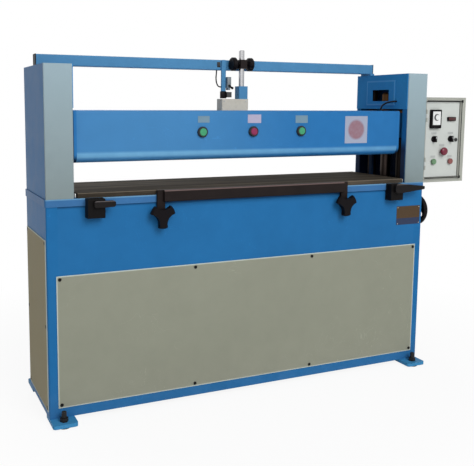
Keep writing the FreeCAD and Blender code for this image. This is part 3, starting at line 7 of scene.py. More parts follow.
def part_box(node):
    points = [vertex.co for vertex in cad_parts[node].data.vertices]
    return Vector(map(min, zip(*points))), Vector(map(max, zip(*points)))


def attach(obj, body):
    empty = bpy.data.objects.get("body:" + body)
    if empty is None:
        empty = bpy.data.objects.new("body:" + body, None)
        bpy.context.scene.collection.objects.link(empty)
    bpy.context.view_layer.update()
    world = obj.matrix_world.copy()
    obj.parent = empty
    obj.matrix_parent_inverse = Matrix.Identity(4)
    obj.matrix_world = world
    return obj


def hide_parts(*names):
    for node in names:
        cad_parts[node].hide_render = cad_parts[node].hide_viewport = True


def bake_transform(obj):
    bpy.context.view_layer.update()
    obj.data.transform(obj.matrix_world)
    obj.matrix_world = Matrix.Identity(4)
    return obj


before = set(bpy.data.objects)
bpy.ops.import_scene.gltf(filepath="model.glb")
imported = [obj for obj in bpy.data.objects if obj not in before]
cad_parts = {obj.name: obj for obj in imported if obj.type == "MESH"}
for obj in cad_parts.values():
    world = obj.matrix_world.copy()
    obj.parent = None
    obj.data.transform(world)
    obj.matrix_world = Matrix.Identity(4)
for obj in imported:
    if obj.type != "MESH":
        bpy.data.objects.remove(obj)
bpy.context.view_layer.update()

# Studio: a wide sheet of white paper for a floor, a white surround and three large soft lamps.
# The camera stands in front of the machine's left end, a little above the table, and looks slightly down.
scene = bpy.context.scene
scene.view_settings.view_transform = "Standard"
WHITE = (1.0, 1.0, 1.0, 1.0)
SURROUND_LIGHT = 0.33
FLOOR_SIZE = 40.0
PAPER_COLOUR = (0.9, 0.9, 0.9, 1.0)
SHADOW_REACH, PLAIN_REACH = 0.9, 2.2
SHADOW_GLOW, PLAIN_GLOW = 0.9, 1.0


class Value:
    """A socket of a node tree. Sums written on it add Math nodes."""

    def __init__(self, nodes, socket):
        self.nodes = nodes
        self.socket = socket

    def work_out(self, operation, *terms):
        return self.nodes.node("ShaderNodeMath", {"operation": operation}, dict(enumerate(terms)))

    def __add__(self, other):
        return self.work_out("ADD", self, other)

    def __radd__(self, other):
        return self.work_out("ADD", other, self)

    def __sub__(self, other):
        return self.work_out("SUBTRACT", self, other)

    def __rsub__(self, other):
        return self.work_out("SUBTRACT", other, self)

    def __mul__(self, other):
        return self.work_out("MULTIPLY", self, other)

    def __rmul__(self, other):
        return self.work_out("MULTIPLY", other, self)

    def __gt__(self, other):
        return self.work_out("GREATER_THAN", self, other)

    def __lt__(self, other):
        return self.work_out("LESS_THAN", self, other)

    def __abs__(self):
        return self.work_out("ABSOLUTE", self)

    def at_most(self, other):
        return self.work_out("MINIMUM", self, other)

    def at_least(self, other):
        return self.work_out("MAXIMUM", self, other)


class Nodes:
    """The nodes of one material or world."""

    def __init__(self, owner):
        owner.use_nodes = True
        self.owner = owner
        self.tree = owner.node_tree

    def node(self, kind, settings, sockets, out=0):
        made = self.tree.nodes.new(kind)
        for name, setting in settings.items():
            setattr(made, name, setting)
        self.feed(made, sockets)
        return Value(self, made.outputs[out])

    def feed(self, made, sockets):
        for name, value in sockets.items():
            if isinstance(value, Value):
                self.tree.links.new(value.socket, made.inputs[name])
            else:
                made.inputs[name].default_value = value


def seen(nodes):
    """1 for rays from the camera and for what metal and glass reflect or pass, else 0."""
    camera_ray, glossy_ray, passed_ray = (nodes.node("ShaderNodeLightPath", {}, {}, out) for out in (0, 3, 6))
    return (camera_ray + glossy_ray + passed_ray).at_most(1.0)


def on_piece(nodes):
    """The place on a piece, in metres from the machine's origin."""
    return nodes.node("ShaderNodeTexCoord", {}, {}, 3)


def fade(nodes, value, start, end, first=0.0, last=1.0, curve="LINEAR"):
    """Runs from first to last as a value runs from start to end, and holds still outside them."""
    return nodes.node("ShaderNodeMapRange", {"interpolation_type": curve}, {
        0: value, 1: start, 2: end, 3: first, 4: last})


surround = bpy.data.worlds.new("surround")
scene.world = surround
sky = Nodes(surround)
sky.feed(surround.node_tree.nodes["Background"], {
    "Color": WHITE, "Strength": seen(sky) * (1.0 - SURROUND_LIGHT) + SURROUND_LIGHT})

bpy.ops.object.select_all(action="DESELECT")
bpy.ops.mesh.primitive_plane_add(size=FLOOR_SIZE, location=(0.0, 0.0, 0.0))
floor = bpy.context.object
floor.name = "floor"
paper = Nodes(bpy.data.materials.new("floor_paper"))
paper_sheet = paper.node("ShaderNodeBsdfDiffuse", {}, {"Color": PAPER_COLOUR})
paper_glow = paper.node("ShaderNodeEmission", {}, {"Color": WHITE, "Strength": 1.0})
paper_reach = paper.node("ShaderNodeVectorMath", {"operation": "LENGTH"}, {0: on_piece(paper)}, 1)
paper_fade = fade(paper, paper_reach, SHADOW_REACH, PLAIN_REACH, SHADOW_GLOW, PLAIN_GLOW)
paper_mix = paper.node("ShaderNodeMixShader", {}, {0: seen(paper) * paper_fade, 1: paper_sheet, 2: paper_glow})
paper.feed(paper.tree.nodes["Material Output"], {"Surface": paper_mix})
floor.data.materials.append(paper.owner)

for lamp_name, spot, aim, size, power in (
    ("key_lamp", (0.4, -4.9, 4.0), (0.0, 0.0, 0.8), 3.2, 232.0),
    ("fill_lamp", (-2.6, -4.2, 2.6), (-0.4, 0.0, 0.8), 3.0, 18.0),
    ("rear_lamp", (-0.2, 4.9, 3.6), (0.0, 0.0, 0.8), 3.2, 60.0),
):
    lamp = bpy.data.lights.new(lamp_name, "AREA")
    lamp.size = size
    lamp.energy = power
    holder = bpy.data.objects.new(lamp_name, lamp)
    holder.location = spot
    holder.rotation_euler = (Vector(aim) - Vector(spot)).to_track_quat("-Z", "Y").to_euler()
    scene.collection.objects.link(holder)

CAMERA_SPOT = Vector((-1.6228, -2.8818, 1.2676))
YAW, PITCH, ROLL = (math.radians(angle) for angle in (23.58, 6.85, 0.28))
ahead = Vector((math.sin(YAW) * math.cos(PITCH), math.cos(YAW) * math.cos(PITCH), -math.sin(PITCH)))
level = Vector((math.cos(YAW), -math.sin(YAW), 0.0))
upward = level.cross(ahead)
sideways = level * math.cos(ROLL) + upward * math.sin(ROLL)
upward = upward * math.cos(ROLL) - level * math.sin(ROLL)
camera = bpy.data.objects.new("camera", bpy.data.cameras.new("camera"))
camera.data.lens = 53.54
camera.data.sensor_width = 36.0
camera.data.shift_x = 0.0942
camera.data.shift_y = -0.0891
camera.matrix_world = Matrix((
    (sideways.x, upward.x, -ahead.x, CAMERA_SPOT.x),
    (sideways.y, upward.y, -ahead.y, CAMERA_SPOT.y),
    (sideways.z, upward.z, -ahead.z, CAMERA_SPOT.z),
    (0.0, 0.0, 0.0, 1.0),
))
scene.collection.objects.link(camera)
scene.camera = camera

# Cabinet: end frames, rails, aprons, ribs and foot plates, cut from steel plate, folded and welded.
# All of it is sprayed with blue enamel that has a faint orange peel and gathers dust near the floor.
# Painted shade darkens the front apron's upper edge, in the seam under the deck's rim.
# The foot plates' blue is a paler copy, a painted highlight for the light on their tops.
BLUE, FOOT_HIGHLIGHT_BLUE = (0.017, 0.137, 0.342), (0.036, 0.235, 0.475)
DUST_COLOUR = (0.32, 0.30, 0.26, 1.0)
DUST_HEIGHT = 0.22
PEEL_DEPTH = 0.0004
SCRATCH_WIDTH, SCRATCH_PATCH = 0.0022, 0.56
APRON_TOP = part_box("bed_aprons")[1].z
RIM_SHADE_TOP, RIM_SHADE_FOOT, RIM_SHADE_STRENGTH = APRON_TOP - 0.001, APRON_TOP - 0.013, 0.8
RIM_SHADE_COLOUR = (0.006, 0.045, 0.125)


def shade(colour, factor):
    """A colour made darker or lighter, with its alpha."""
    return (*(min(1.0, part * factor) for part in colour), 1.0)


def along(nodes, place, axis):
    """How far a place lies along the machine (0), to its back (1) or up (2)."""
    return nodes.node("ShaderNodeSeparateXYZ", {}, {0: place}, axis)


def patches(nodes, place, scale, detail, rough=0.5, swirl=0.0):
    """Soft random patches between 0 and 1."""
    return nodes.node("ShaderNodeTexNoise", {}, {
        "Vector": place, "Scale": scale, "Detail": detail, "Roughness": rough, "Distortion": swirl})


def mixed(nodes, mask, under, over):
    """One colour where a mask is 0, and another where it is 1."""
    return nodes.node("ShaderNodeMix", {"data_type": "RGBA"}, {0: mask, 6: under, 7: over}, 2)


def scratched(nodes, place):
    """Thin random scratches, 1 on a scratch."""
    ridge = abs(patches(nodes, place, 9.0, 2.0, swirl=1.4) - 0.5)
    return (ridge < SCRATCH_WIDTH) * (patches(nodes, place, 3.1, 1.0) > SCRATCH_PATCH)


def paint(name, colour, rough=0.36, peel=0.08, dust=0.0, scratches=0.25, spread=0.06,
          overlay=None, overlay_colour=None, ior=1.16):
    """Sprayed paint on steel. An optional mask, made from the nodes and the place, shows a second colour; it carries
    painted light and shade as well as real marks.
    """
    nodes = Nodes(bpy.data.materials.new(name))
    place = on_piece(nodes)
    broad = patches(nodes, place, 2.3, 4.0, rough=0.6)
    cloud = patches(nodes, place, 17.0, 3.0)
    grain = patches(nodes, place, 380.0, 1.0)
    tone = fade(nodes, broad * 0.65 + cloud * 0.35, 0.35, 0.65)
    coat = mixed(nodes, tone, shade(colour, 1.0 - spread), shade(colour, 1.0 + spread))
    scratch = scratched(nodes, place) * scratches
    coat = mixed(nodes, scratch, coat, shade(colour, 1.7))
    if overlay:
        coat = mixed(nodes, overlay(nodes, place), coat, (*overlay_colour, 1.0))
    if dust:
        low = fade(nodes, along(nodes, place, 2), DUST_HEIGHT, 0.0)
        coat = mixed(nodes, low * cloud * dust, coat, DUST_COLOUR)
    bump = nodes.node("ShaderNodeBump", {}, {"Strength": peel, "Distance": PEEL_DEPTH, "Height": grain})
    nodes.feed(nodes.tree.nodes["Principled BSDF"], {
        "Base Color": coat, "Roughness": rough + 0.1 * (tone - 0.5) + 0.2 * scratch, "Normal": bump, "IOR": ior})
    return nodes.owner


def finish(material, *node_names):
    """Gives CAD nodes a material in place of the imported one."""
    for node_name in node_names:
        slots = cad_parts[node_name].data.materials
        slots.clear()
        slots.append(material)


def rim_shade_mask(nodes, place):
    """Painted shade along the apron's upper edge, under the deck's rim."""
    return fade(nodes, along(nodes, place, 2), RIM_SHADE_FOOT, RIM_SHADE_TOP, last=RIM_SHADE_STRENGTH, curve="SMOOTHSTEP")


enamel = paint("blue_enamel", BLUE, dust=0.1, ior=1.11)
finish(enamel, "end_frames", "bottom_rails", "bed_ribs")
foot_highlight_enamel = paint("highlight_blue_foot_enamel", FOOT_HIGHLIGHT_BLUE, dust=0.1, ior=1.11)
finish(foot_highlight_enamel, "foot_plates")
# The apron's paint carries painted shade along its upper edge, under the deck's rim.
apron_enamel = paint("blue_apron_enamel", BLUE, overlay=rim_shade_mask, overlay_colour=RIM_SHADE_COLOUR)
finish(apron_enamel, "bed_aprons")

# Levelling bolts: steel studs on round pads under the four foot plates, each locked by a hexagon nut.
# They are turned and chemically blacked, and fine turning lines run round them.
BLACKED = (0.022, 0.022, 0.023)
LINE_DEPTH = 0.0005


def steel(name, colour, rough=0.3, brush=(1.0, 1.0, 40.0), spread=0.12, metal=1.0, grain=0.06,
          overlay=None, lighten_by=3.0, ior=1.3):
    """Bare or blacked steel with fine machining lines, drawn out along the axis whose brush factor is small."""
    nodes = Nodes(bpy.data.materials.new(name))
    place = on_piece(nodes)
    drawn = nodes.node("ShaderNodeMapping", {}, {0: place, 3: brush})
    lines = patches(nodes, drawn, 22.0, 5.0, rough=0.65)
    stain = patches(nodes, place, 12.0, 4.0)
    tone = fade(nodes, lines * 0.6 + stain * 0.4, 0.32, 0.68)
    skin = mixed(nodes, tone, shade(colour, 1.0 - spread), shade(colour, 1.0 + spread))
    # The optional mask lightens the steel; it carries painted highlights as well as real streaks.
    if overlay:
        skin = mixed(nodes, overlay(nodes, place), skin, shade(colour, lighten_by))
    bump = nodes.node("ShaderNodeBump", {}, {"Strength": grain, "Distance": LINE_DEPTH, "Height": lines})
    nodes.feed(nodes.tree.nodes["Principled BSDF"], {
        "Base Color": skin, "Metallic": metal, "Roughness": rough + 0.16 * (stain - 0.5), "Normal": bump, "IOR": ior})
    return nodes.owner


blacked_steel = steel("blacked_steel", BLACKED, rough=0.5, brush=(1.0, 1.0, 60.0), metal=0.6)
finish(blacked_steel, "levelling_bolts")

# Cabinet covers: flat steel sheets over the openings at the front, the back and both ends.
# They are sprayed beige-grey, with a painted highlight along their edges.
BEIGE = (0.262, 0.271, 0.214)
# The end sheets get a warmer copy of the beige as painted light, for the warm light that falls on them.
SIDE_WARM_LIT_BEIGE = (0.295, 0.258, 0.160)
HIGHLIGHT_BEIGE = (0.60, 0.66, 0.60)
EDGE_HIGHLIGHT_WIDTH = 0.0055


def edge_highlight_mask(node_name, across):
    """A mask of a sheet's painted edge highlight: 1 along its border, 0 inside. across is the sheet's level axis."""
    low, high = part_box(node_name)

    def mask(nodes, place):
        edges = []
        for axis in (across, 2):
            middle, half = (low[axis] + high[axis]) / 2, (high[axis] - low[axis]) / 2
            edges.append(fade(nodes, abs(along(nodes, place, axis) - middle), half - EDGE_HIGHLIGHT_WIDTH, half))
        unevenness = patches(nodes, place, 35.0, 3.0)
        return edges[0].at_least(edges[1]) * (0.7 + 0.6 * unevenness)

    return mask


# Each sheet's paint carries the painted edge highlight.
for node_name, across, beige in (
    ("front_panel", 0, BEIGE), ("rear_panel", 0, BEIGE), ("side_panels", 1, SIDE_WARM_LIT_BEIGE),
):
    panel_paint = paint(f"{node_name}_paint", beige, rough=0.5, peel=0.12, dust=0.25, spread=0.035,
                        overlay=edge_highlight_mask(node_name, across), overlay_colour=HIGHLIGHT_BEIGE, ior=1.1)
    finish(panel_paint, node_name)

# Panel screws: blacked pan-head screws with round sockets, near the edges of every cover.
# Eight hold each of the front and rear sheets, and six lower ones, nearly flush, hold each end sheet.
SCREW_BLACK = (0.010, 0.010, 0.011)
SCREW_RADIUS, SCREW_RISE = 0.0068, 0.55
END_SCREW_RADIUS, END_SCREW_RISE = 0.0076, 0.12
SCREW_INSET = 0.013
BEVEL_ANGLE, SMOOTH_ANGLE = math.radians(40.0), math.radians(35.0)
TO_FRONT = Matrix.Rotation(math.radians(90), 4, "X")
FACING = {
    "front": TO_FRONT,
    "back": Matrix.Rotation(math.radians(180), 4, "Z") @ TO_FRONT,
    "left": Matrix.Rotation(math.radians(-90), 4, "Z") @ TO_FRONT,
    "right": Matrix.Rotation(math.radians(90), 4, "Z") @ TO_FRONT,
    "up": Matrix.Identity(4),
}


def start_round(radius, depth, sides):
    """A short upright cylinder standing on z = 0, alone in the selection."""
    bpy.ops.object.select_all(action="DESELECT")
    bpy.ops.mesh.primitive_cylinder_add(vertices=sides, radius=radius, depth=depth, location=(0.0, 0.0, depth / 2))
    bpy.ops.object.transform_apply(location=True, rotation=True, scale=True)
    return bpy.context.object


def inset_top(piece, border):
    """Draws a piece's top face in by a border, and leaves its middle selected in edit mode."""
    bpy.ops.object.mode_set(mode="EDIT")
    bpy.ops.mesh.select_mode(type="FACE")
    bpy.ops.mesh.select_all(action="DESELECT")
    bpy.ops.object.mode_set(mode="OBJECT")
    for face in piece.data.polygons:
        face.select = face.normal.z > 0.9
    bpy.ops.object.mode_set(mode="EDIT")
    bpy.ops.mesh.inset(thickness=border)


def extrude_top(piece, border, rise):
    """Moves the middle of a piece's top face up or down on upright walls."""
    inset_top(piece, border)
    bpy.ops.mesh.extrude_region_move(TRANSFORM_OT_translate={"value": (0.0, 0.0, rise)})


def bevelled(piece, width, segments=2):
    """Rounds a piece's edges with an applied Bevel modifier and shades it smooth by angle."""
    bpy.ops.object.mode_set(mode="OBJECT")
    rounding = piece.modifiers.new("edges", "BEVEL")
    rounding.width = width
    rounding.segments = segments
    rounding.angle_limit = BEVEL_ANGLE
    bpy.ops.object.modifier_apply(modifier=rounding.name)
    bpy.ops.object.shade_smooth_by_angle(angle=SMOOTH_ANGLE)
    return piece


def fix(piece, name, spot, facing, material, body):
    """Sets a finished piece on its seat, facing one way, and hangs it on its body."""
    piece.data.transform(Matrix.Translation(Vector(spot)) @ FACING[facing])
    piece.name = name
    piece.data.materials.clear()
    piece.data.materials.append(material)
    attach(piece, body)


def twin_of(piece):
    """A copy of a piece, with its own mesh."""
    twin = piece.copy()
    twin.data = piece.data.copy()
    scene.collection.objects.link(twin)
    return twin


def numbered(name, spots, facing):
    """Seats that face one way: the name, place and facing of each."""
    return [(f"{name}_{count}", spot, facing) for count, spot in enumerate(spots, start=1)]


def fix_copies(piece, seats, material, body):
    """Sets the same piece on several seats."""
    pieces = [piece, *(twin_of(piece) for _ in seats[1:])]
    for copy, (name, spot, facing) in zip(pieces, seats):
        fix(copy, name, spot, facing, material, body)


def screw_head(radius, rise):
    """A pan head with a round socket. rise is its height as a share of its radius."""
    head = start_round(radius, radius * rise, 20)
    extrude_top(head, radius * 0.5, -radius * rise * 0.55)
    return bevelled(head, radius * rise * 0.28)


def spread_out(low, high, count):
    """Evenly spaced seats between two edges, the screws' inset away from them."""
    return [low + SCREW_INSET + (high - low - 2 * SCREW_INSET) * part / (count - 1) for part in range(count)]


blacked_screws = steel("blacked_screws", SCREW_BLACK, rough=0.45, metal=0.3, ior=1.2)
seats = []
for node_name, facing in (("front_panel", "front"), ("rear_panel", "back")):
    low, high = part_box(node_name)
    face = low.y if facing == "front" else high.y
    spots = [(x, face, z) for z in spread_out(low.z, high.z, 2) for x in spread_out(low.x, high.x, 4)]
    seats += numbered(f"{node_name}_screw", spots, facing)
fix_copies(screw_head(SCREW_RADIUS, SCREW_RISE), seats, blacked_screws, "base")
seats = []
low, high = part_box("side_panels")
for facing, face in (("left", low.x), ("right", high.x)):
    spots = [(face, y, z) for z in spread_out(low.z, high.z, 3) for y in spread_out(low.y, high.y, 2)]
    seats += numbered(f"{facing}_panel_screw", spots, facing)
fix_copies(screw_head(END_SCREW_RADIUS, END_SCREW_RISE), seats, blacked_screws, "base")

# Deck: a thick steel plate with a rim, welded over the cabinet to carry the table and the towers.
# It is sprayed blue with the cabinet, and its top front edge has a painted highlight.
DECK_BLUE = (0.046, 0.150, 0.335)
EDGE_HIGHLIGHT_BLUE = (0.13, 0.29, 0.47)


def top_front_highlight(node_name, width):
    """A mask of a piece's top front edge, where a painted highlight goes: 1 on the edge, 0 a little way down and back.
    """
    low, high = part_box(node_name)

    def mask(nodes, place):
        near = fade(nodes, along(nodes, place, 1), low.y + width, low.y + width * 0.5)
        return near * fade(nodes, along(nodes, place, 2), high.z - width, high.z - width * 0.5)

    return mask


deck_enamel = paint("blue_deck_enamel", DECK_BLUE, overlay=top_front_highlight("deck_plate", 0.006),
                    overlay_colour=EDGE_HIGHLIGHT_BLUE, ior=1.11)
finish(deck_enamel, "deck_plate")

# Work table: a ground steel plate that lies on the deck between the towers and takes the cutting board.
# It has gone dark with oil, and boards pushed over it have left long streaks; its front edge has a painted highlight.
TABLE_BROWN = (0.046, 0.038, 0.029)
STREAK_STRETCH = (0.35, 11.0, 1.0)
QUIET_END, BUSY_END, QUIET_SHARE = 0.1, -0.9, 0.35


def streaks_and_edge_highlight(nodes, place):
    """The painted highlight along the front edge, and the streaks, which are strongest towards the left end."""
    drawn = nodes.node("ShaderNodeMapping", {}, {0: place, 3: STREAK_STRETCH})
    streak = fade(nodes, patches(nodes, drawn, 2.6, 4.0), 0.44, 0.64)
    busy = fade(nodes, along(nodes, place, 0), QUIET_END, BUSY_END, first=QUIET_SHARE)
    return top_front_highlight("work_table", 0.004)(nodes, place) * 0.6 + busy * streak


table_steel = steel("oiled_table_steel", TABLE_BROWN, rough=0.72, brush=(0.25, 9.0, 9.0), metal=0.05, spread=0.45,
                    overlay=streaks_and_edge_highlight, lighten_by=4.2, ior=1.09)
finish(table_steel, "work_table")

# Table dowels: bright ground steel pins with domed ends, pressed into the deck.
# One stands beside each corner of the table and keeps it from sliding.
BRIGHT = (0.62, 0.62, 0.6)
DOWEL_RADIUS, DOWEL_RISE = 0.0055, 0.016
DOWEL_GAP, DOWEL_SETBACK = 0.007, 0.012


def step_top(piece, border, rise):
    """Moves the middle of a piece's top face up or down, so that its border becomes a slope."""
    inset_top(piece, border)
    bpy.ops.transform.translate(value=(0.0, 0.0, rise))


def domed_pin(radius, rise):
    """A round pin with a domed end."""
    pin = start_round(radius, rise, 24)
    step_top(pin, radius * 0.35, radius * 0.25)
    return bevelled(pin, radius * 0.12)


bright_steel = steel("bright_pins", BRIGHT, rough=0.25, brush=(1.0, 1.0, 30.0))
low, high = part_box("work_table")
dowel_rows = (low.y + DOWEL_SETBACK, high.y - DOWEL_SETBACK)
spots = [(x, y, low.z) for x in (low.x - DOWEL_GAP, high.x + DOWEL_GAP) for y in dowel_rows]
fix_copies(domed_pin(DOWEL_RADIUS, DOWEL_RISE), numbered("table_dowel", spots, "up"),
           bright_steel, "base")

# Front fence: a steel bar along the table's front edge, welded to two brackets that hang over the deck's rim.
# It is blacked, and its top front edge has a painted highlight.
FENCE_BLACK = (0.0125, 0.0085, 0.008)
fence_steel = steel("blacked_fence_steel", FENCE_BLACK, rough=0.5, brush=(0.6, 20.0, 20.0), metal=0.1, spread=0.3,
                    overlay=top_front_highlight("front_fence", 0.006), lighten_by=11.0, ior=1.2)
finish(fence_steel, "front_fence")

# Clamp knobs: three-lobed knobs of black thermoset, moulded round a steel stud.
# Each is screwed through a fence bracket and grips the deck's rim.
MOULDING_BLACK = (0.0055, 0.0045, 0.0055)
GRAIN_DEPTH = 0.0002


def moulded(name, colour, rough=0.42, grain=0.12, spread=0.12, ior=1.45):
    """Moulded plastic with a fine spark-eroded grain."""
    nodes = Nodes(bpy.data.materials.new(name))
    place = on_piece(nodes)
    fine = patches(nodes, place, 1400.0, 1.0)
    smear = patches(nodes, place, 60.0, 3.0)
    skin = mixed(nodes, smear, shade(colour, 1.0 - spread), shade(colour, 1.0 + spread))
    bump = nodes.node("ShaderNodeBump", {}, {"Strength": grain, "Distance": GRAIN_DEPTH, "Height": fine})
    nodes.feed(nodes.tree.nodes["Principled BSDF"], {
        "Base Color": skin, "Roughness": rough + 0.2 * (smear - 0.5), "Normal": bump, "IOR": ior})
    return nodes.owner


black_moulding = moulded("black_moulding", MOULDING_BLACK, ior=1.16)
finish(black_moulding, "left_clamp_knob", "right_clamp_knob")

# Lock blocks and levers: a square steel block bolted to the front of the rim near each tower, with a forged lever that
# swings on its face. Both are blacked, and the levers' top front edges have a painted highlight.
BLOCK_BLACK = (0.0065, 0.0058, 0.0058)
LEVER_BLACK = (0.012, 0.0105, 0.0105)
block_steel = steel("blacked_block_steel", BLOCK_BLACK, rough=0.5, brush=(1.0, 20.0, 20.0), metal=0.1, ior=1.15)
finish(block_steel, "lock_blocks")
for lever_name in ("left_lock_lever", "right_lock_lever"):
    highlighted_lever_steel = steel(f"{lever_name}_steel", LEVER_BLACK, rough=0.4, brush=(0.5, 18.0, 18.0), metal=0.3,
                          overlay=top_front_highlight(lever_name, 0.0045), lighten_by=9.0, ior=1.2)
    finish(highlighted_lever_steel, lever_name)

# Apron plate: a bare sheet-metal plate with a pressed rim and two plain colour fields.
# Four small domed rivets hold it at the right end of the front apron.
PLATE_WIDTH, PLATE_HEIGHT, PLATE_THICK = 0.140, 0.090, 0.0012
PLATE_RIM = 0.003
PLATE_SPOT = Vector((0.690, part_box("bed_aprons")[0].y, 0.748))
PLATE_BROWN, PLATE_BLUE = (0.060, 0.030, 0.0075), (0.008, 0.025, 0.080)
RIVET_RADIUS, RIVET_RISE, RIVET_INSET = 0.0022, 0.0022, 0.006


def start_block(width, height, depth):
    """A block standing on z = 0 and centred in x and y, alone in the selection."""
    bpy.ops.object.select_all(action="DESELECT")
    bpy.ops.mesh.primitive_cube_add(size=1.0, location=(0.0, 0.0, depth / 2))
    bpy.context.object.scale = (width, height, depth)
    bpy.ops.object.transform_apply(location=True, rotation=True, scale=True)
    return bpy.context.object


def blank_plate(width, height, thick, rim):
    """A thin plate with a slightly raised rim."""
    plate = start_block(width, height, thick)
    step_top(plate, rim, -thick * 0.4)
    return bevelled(plate, thick * 0.3, 1)


def two_tone(name, upper, lower, split, metal):
    """Two bare colour fields, one above the other, with a little tarnish."""
    nodes = Nodes(bpy.data.materials.new(name))
    place = on_piece(nodes)
    tarnish = patches(nodes, place, 90.0, 4.0)
    field = mixed(nodes, along(nodes, place, 2) > split, (*lower, 1.0), (*upper, 1.0))
    skin = mixed(nodes, tarnish * 0.35, field, shade(upper, 0.45))
    nodes.feed(nodes.tree.nodes["Principled BSDF"], {
        "Base Color": skin, "Metallic": metal, "Roughness": 0.45 + 0.2 * (tarnish - 0.5)})
    return nodes.owner


plate_print = two_tone("bare_plate_print", PLATE_BROWN, PLATE_BLUE, PLATE_SPOT.z - PLATE_HEIGHT * 0.15, metal=0.35)
fix(blank_plate(PLATE_WIDTH, PLATE_HEIGHT, PLATE_THICK, PLATE_RIM), "apron_plate", PLATE_SPOT,
    "front", plate_print, "base")
rivet_x, rivet_z = PLATE_WIDTH / 2 - RIVET_INSET, PLATE_HEIGHT / 2 - RIVET_INSET
spots = [PLATE_SPOT + Vector((side * rivet_x, 0.0, end * rivet_z)) for side in (-1, 1) for end in (-1, 1)]
fix_copies(domed_pin(RIVET_RADIUS, RIVET_RISE), numbered("apron_plate_rivet", spots, "front"),
           bright_steel, "base")

# Tower shells: deep channels folded from steel plate, bolted on the deck at both ends.
# They are sprayed blue, and below the beam their inner walls are painted dark as shade.
TOWER_SHADE_BLUE = (0.019, 0.028, 0.064)
END_WALL, SIDE_WALL = 0.003, 0.004
GUARD_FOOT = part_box("inner_guards")[0].z
TOWER_SHADE_START, TOWER_SHADE_FULL, TOWER_SHADE_STRENGTH = GUARD_FOOT - 0.13, GUARD_FOOT - 0.2, 0.93
shell_low, shell_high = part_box("tower_shells")
shell_middle, shell_half = (shell_low + shell_high) / 2, (shell_high - shell_low) / 2


def inside_shade(nodes, place):
    """Painted shade on the inner walls of the channels, below the guards."""
    inside = [
        abs(along(nodes, place, axis) - shell_middle[axis]) < shell_half[axis] - wall
        for axis, wall in ((0, END_WALL), (1, SIDE_WALL))
    ]
    deep = fade(nodes, along(nodes, place, 2), TOWER_SHADE_START, TOWER_SHADE_FULL, last=TOWER_SHADE_STRENGTH, curve="SMOOTHSTEP")
    return inside[0] * inside[1] * deep


shell_enamel = paint("blue_shell_enamel", BLUE, overlay=inside_shade, overlay_colour=TOWER_SHADE_BLUE, ior=1.11)
finish(shell_enamel, "tower_shells")

# Inner guards: sheet-steel guards screwed across the towers' inner sides, above the beam.
# A raised panel is pressed round each guard's window, with a painted highlight just inside its outline.
# The guards' blue is painted lighter than the cabinet's, as light falling on the towers' inner sides.
GUARD_LIT_BLUE, EMBOSS_HIGHLIGHT_BLUE = (0.028, 0.215, 0.50), (0.13, 0.38, 0.66)
EMBOSS_HALF_WIDTH, EMBOSS_HALF_HEIGHT, EMBOSS_MIDDLE = 0.108, 0.06045, 1.33695
EMBOSS_SETBACK, EMBOSS_SOFT, EMBOSS_SHARP, EMBOSS_HIGHLIGHT_STRENGTH = 0.003, 0.006, 0.001, 0.5


def emboss_highlight(nodes, place):
    """A painted highlight: a thin line just inside the raised panel's outline."""
    past_side = abs(along(nodes, place, 1)) - EMBOSS_HALF_WIDTH
    past_end = abs(along(nodes, place, 2) - EMBOSS_MIDDLE) - EMBOSS_HALF_HEIGHT
    off = abs(past_side.at_least(past_end) + EMBOSS_SETBACK)
    return fade(nodes, off, EMBOSS_SOFT, EMBOSS_SHARP, last=EMBOSS_HIGHLIGHT_STRENGTH)


guard_enamel = paint("blue_guard_enamel", GUARD_LIT_BLUE, overlay=emboss_highlight, overlay_colour=EMBOSS_HIGHLIGHT_BLUE, ior=1.11)
finish(guard_enamel, "inner_guards")

# Tower covers: plain folded steel sheets that clip over the towers' fronts.
# They are sprayed grey, a little paler and bluer towards the top.
COVER_GREY, COVER_PALE = (0.212, 0.262, 0.268), (0.292, 0.388, 0.435)
cover_low, cover_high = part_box("tower_covers")


def paler_upwards(nodes, place):
    """0 at the covers' feet and 1 at their tops."""
    return fade(nodes, along(nodes, place, 2), cover_low.z, cover_high.z)


cover_paint = paint("grey_cover_paint", COVER_GREY, rough=0.45, peel=0.06, scratches=0.1, spread=0.05,
                    overlay=paler_upwards, overlay_colour=COVER_PALE)
finish(cover_paint, "tower_covers")

# Guide columns, cylinders and balance shaft: ground steel columns and honed barrels that stand in the towers,
# chromed rams held by brass nuts, bronze bushes in the lugs, and the shaft that runs through the ribs.
# All of them are oiled; the columns, barrels, glands, shaft and rams are also painted dark as shade.
COLUMN_SHADE_DARK, RAM_SHADE_DARK, BRASS_DARK = (0.017, 0.012, 0.010), (0.040, 0.030, 0.026), (0.070, 0.034, 0.014)
column_steel = steel("shaded_column_steel", COLUMN_SHADE_DARK, rough=0.45, brush=(8.0, 8.0, 1.0), metal=0.3, ior=1.2)
finish(column_steel, "guide_columns", "cylinder_barrels", "cylinder_glands", "balance_shaft")
ram_chrome = steel("shaded_ram_chrome", RAM_SHADE_DARK, rough=0.3, brush=(6.0, 6.0, 0.4), spread=0.1)
finish(ram_chrome, "piston_rods")
brass = steel("oiled_brass", BRASS_DARK, rough=0.45, brush=(1.0, 1.0, 50.0))
finish(brass, "rod_nuts", "guide_bushes")

# Beam: a box girder welded from steel plate, with a broad rounded lower edge and end lugs that run on the columns.
# It is sprayed blue. The lower bend has a painted highlight and the left end is painted paler, and the links under the
# lugs are painted dark as shade.
BEAM_BLUE, BEAM_PALE = (0.023, 0.150, 0.380), (0.20, 0.46, 0.68)
BEND_MIDDLE, BEND_SOFT, BEND_SHARP = 1.0705, 0.017, 0.004
PALE_LEFT_START, PALE_LEFT_FULL, PALE_LEFT_STRENGTH = 0.25, -0.55, 0.19
LUG_BLUE, LINK_SHADE_DARK = (0.028, 0.165, 0.405), (0.010, 0.026, 0.062)
LINK_SHADE_START, LINK_SHADE_FULL = 1.076, 1.050


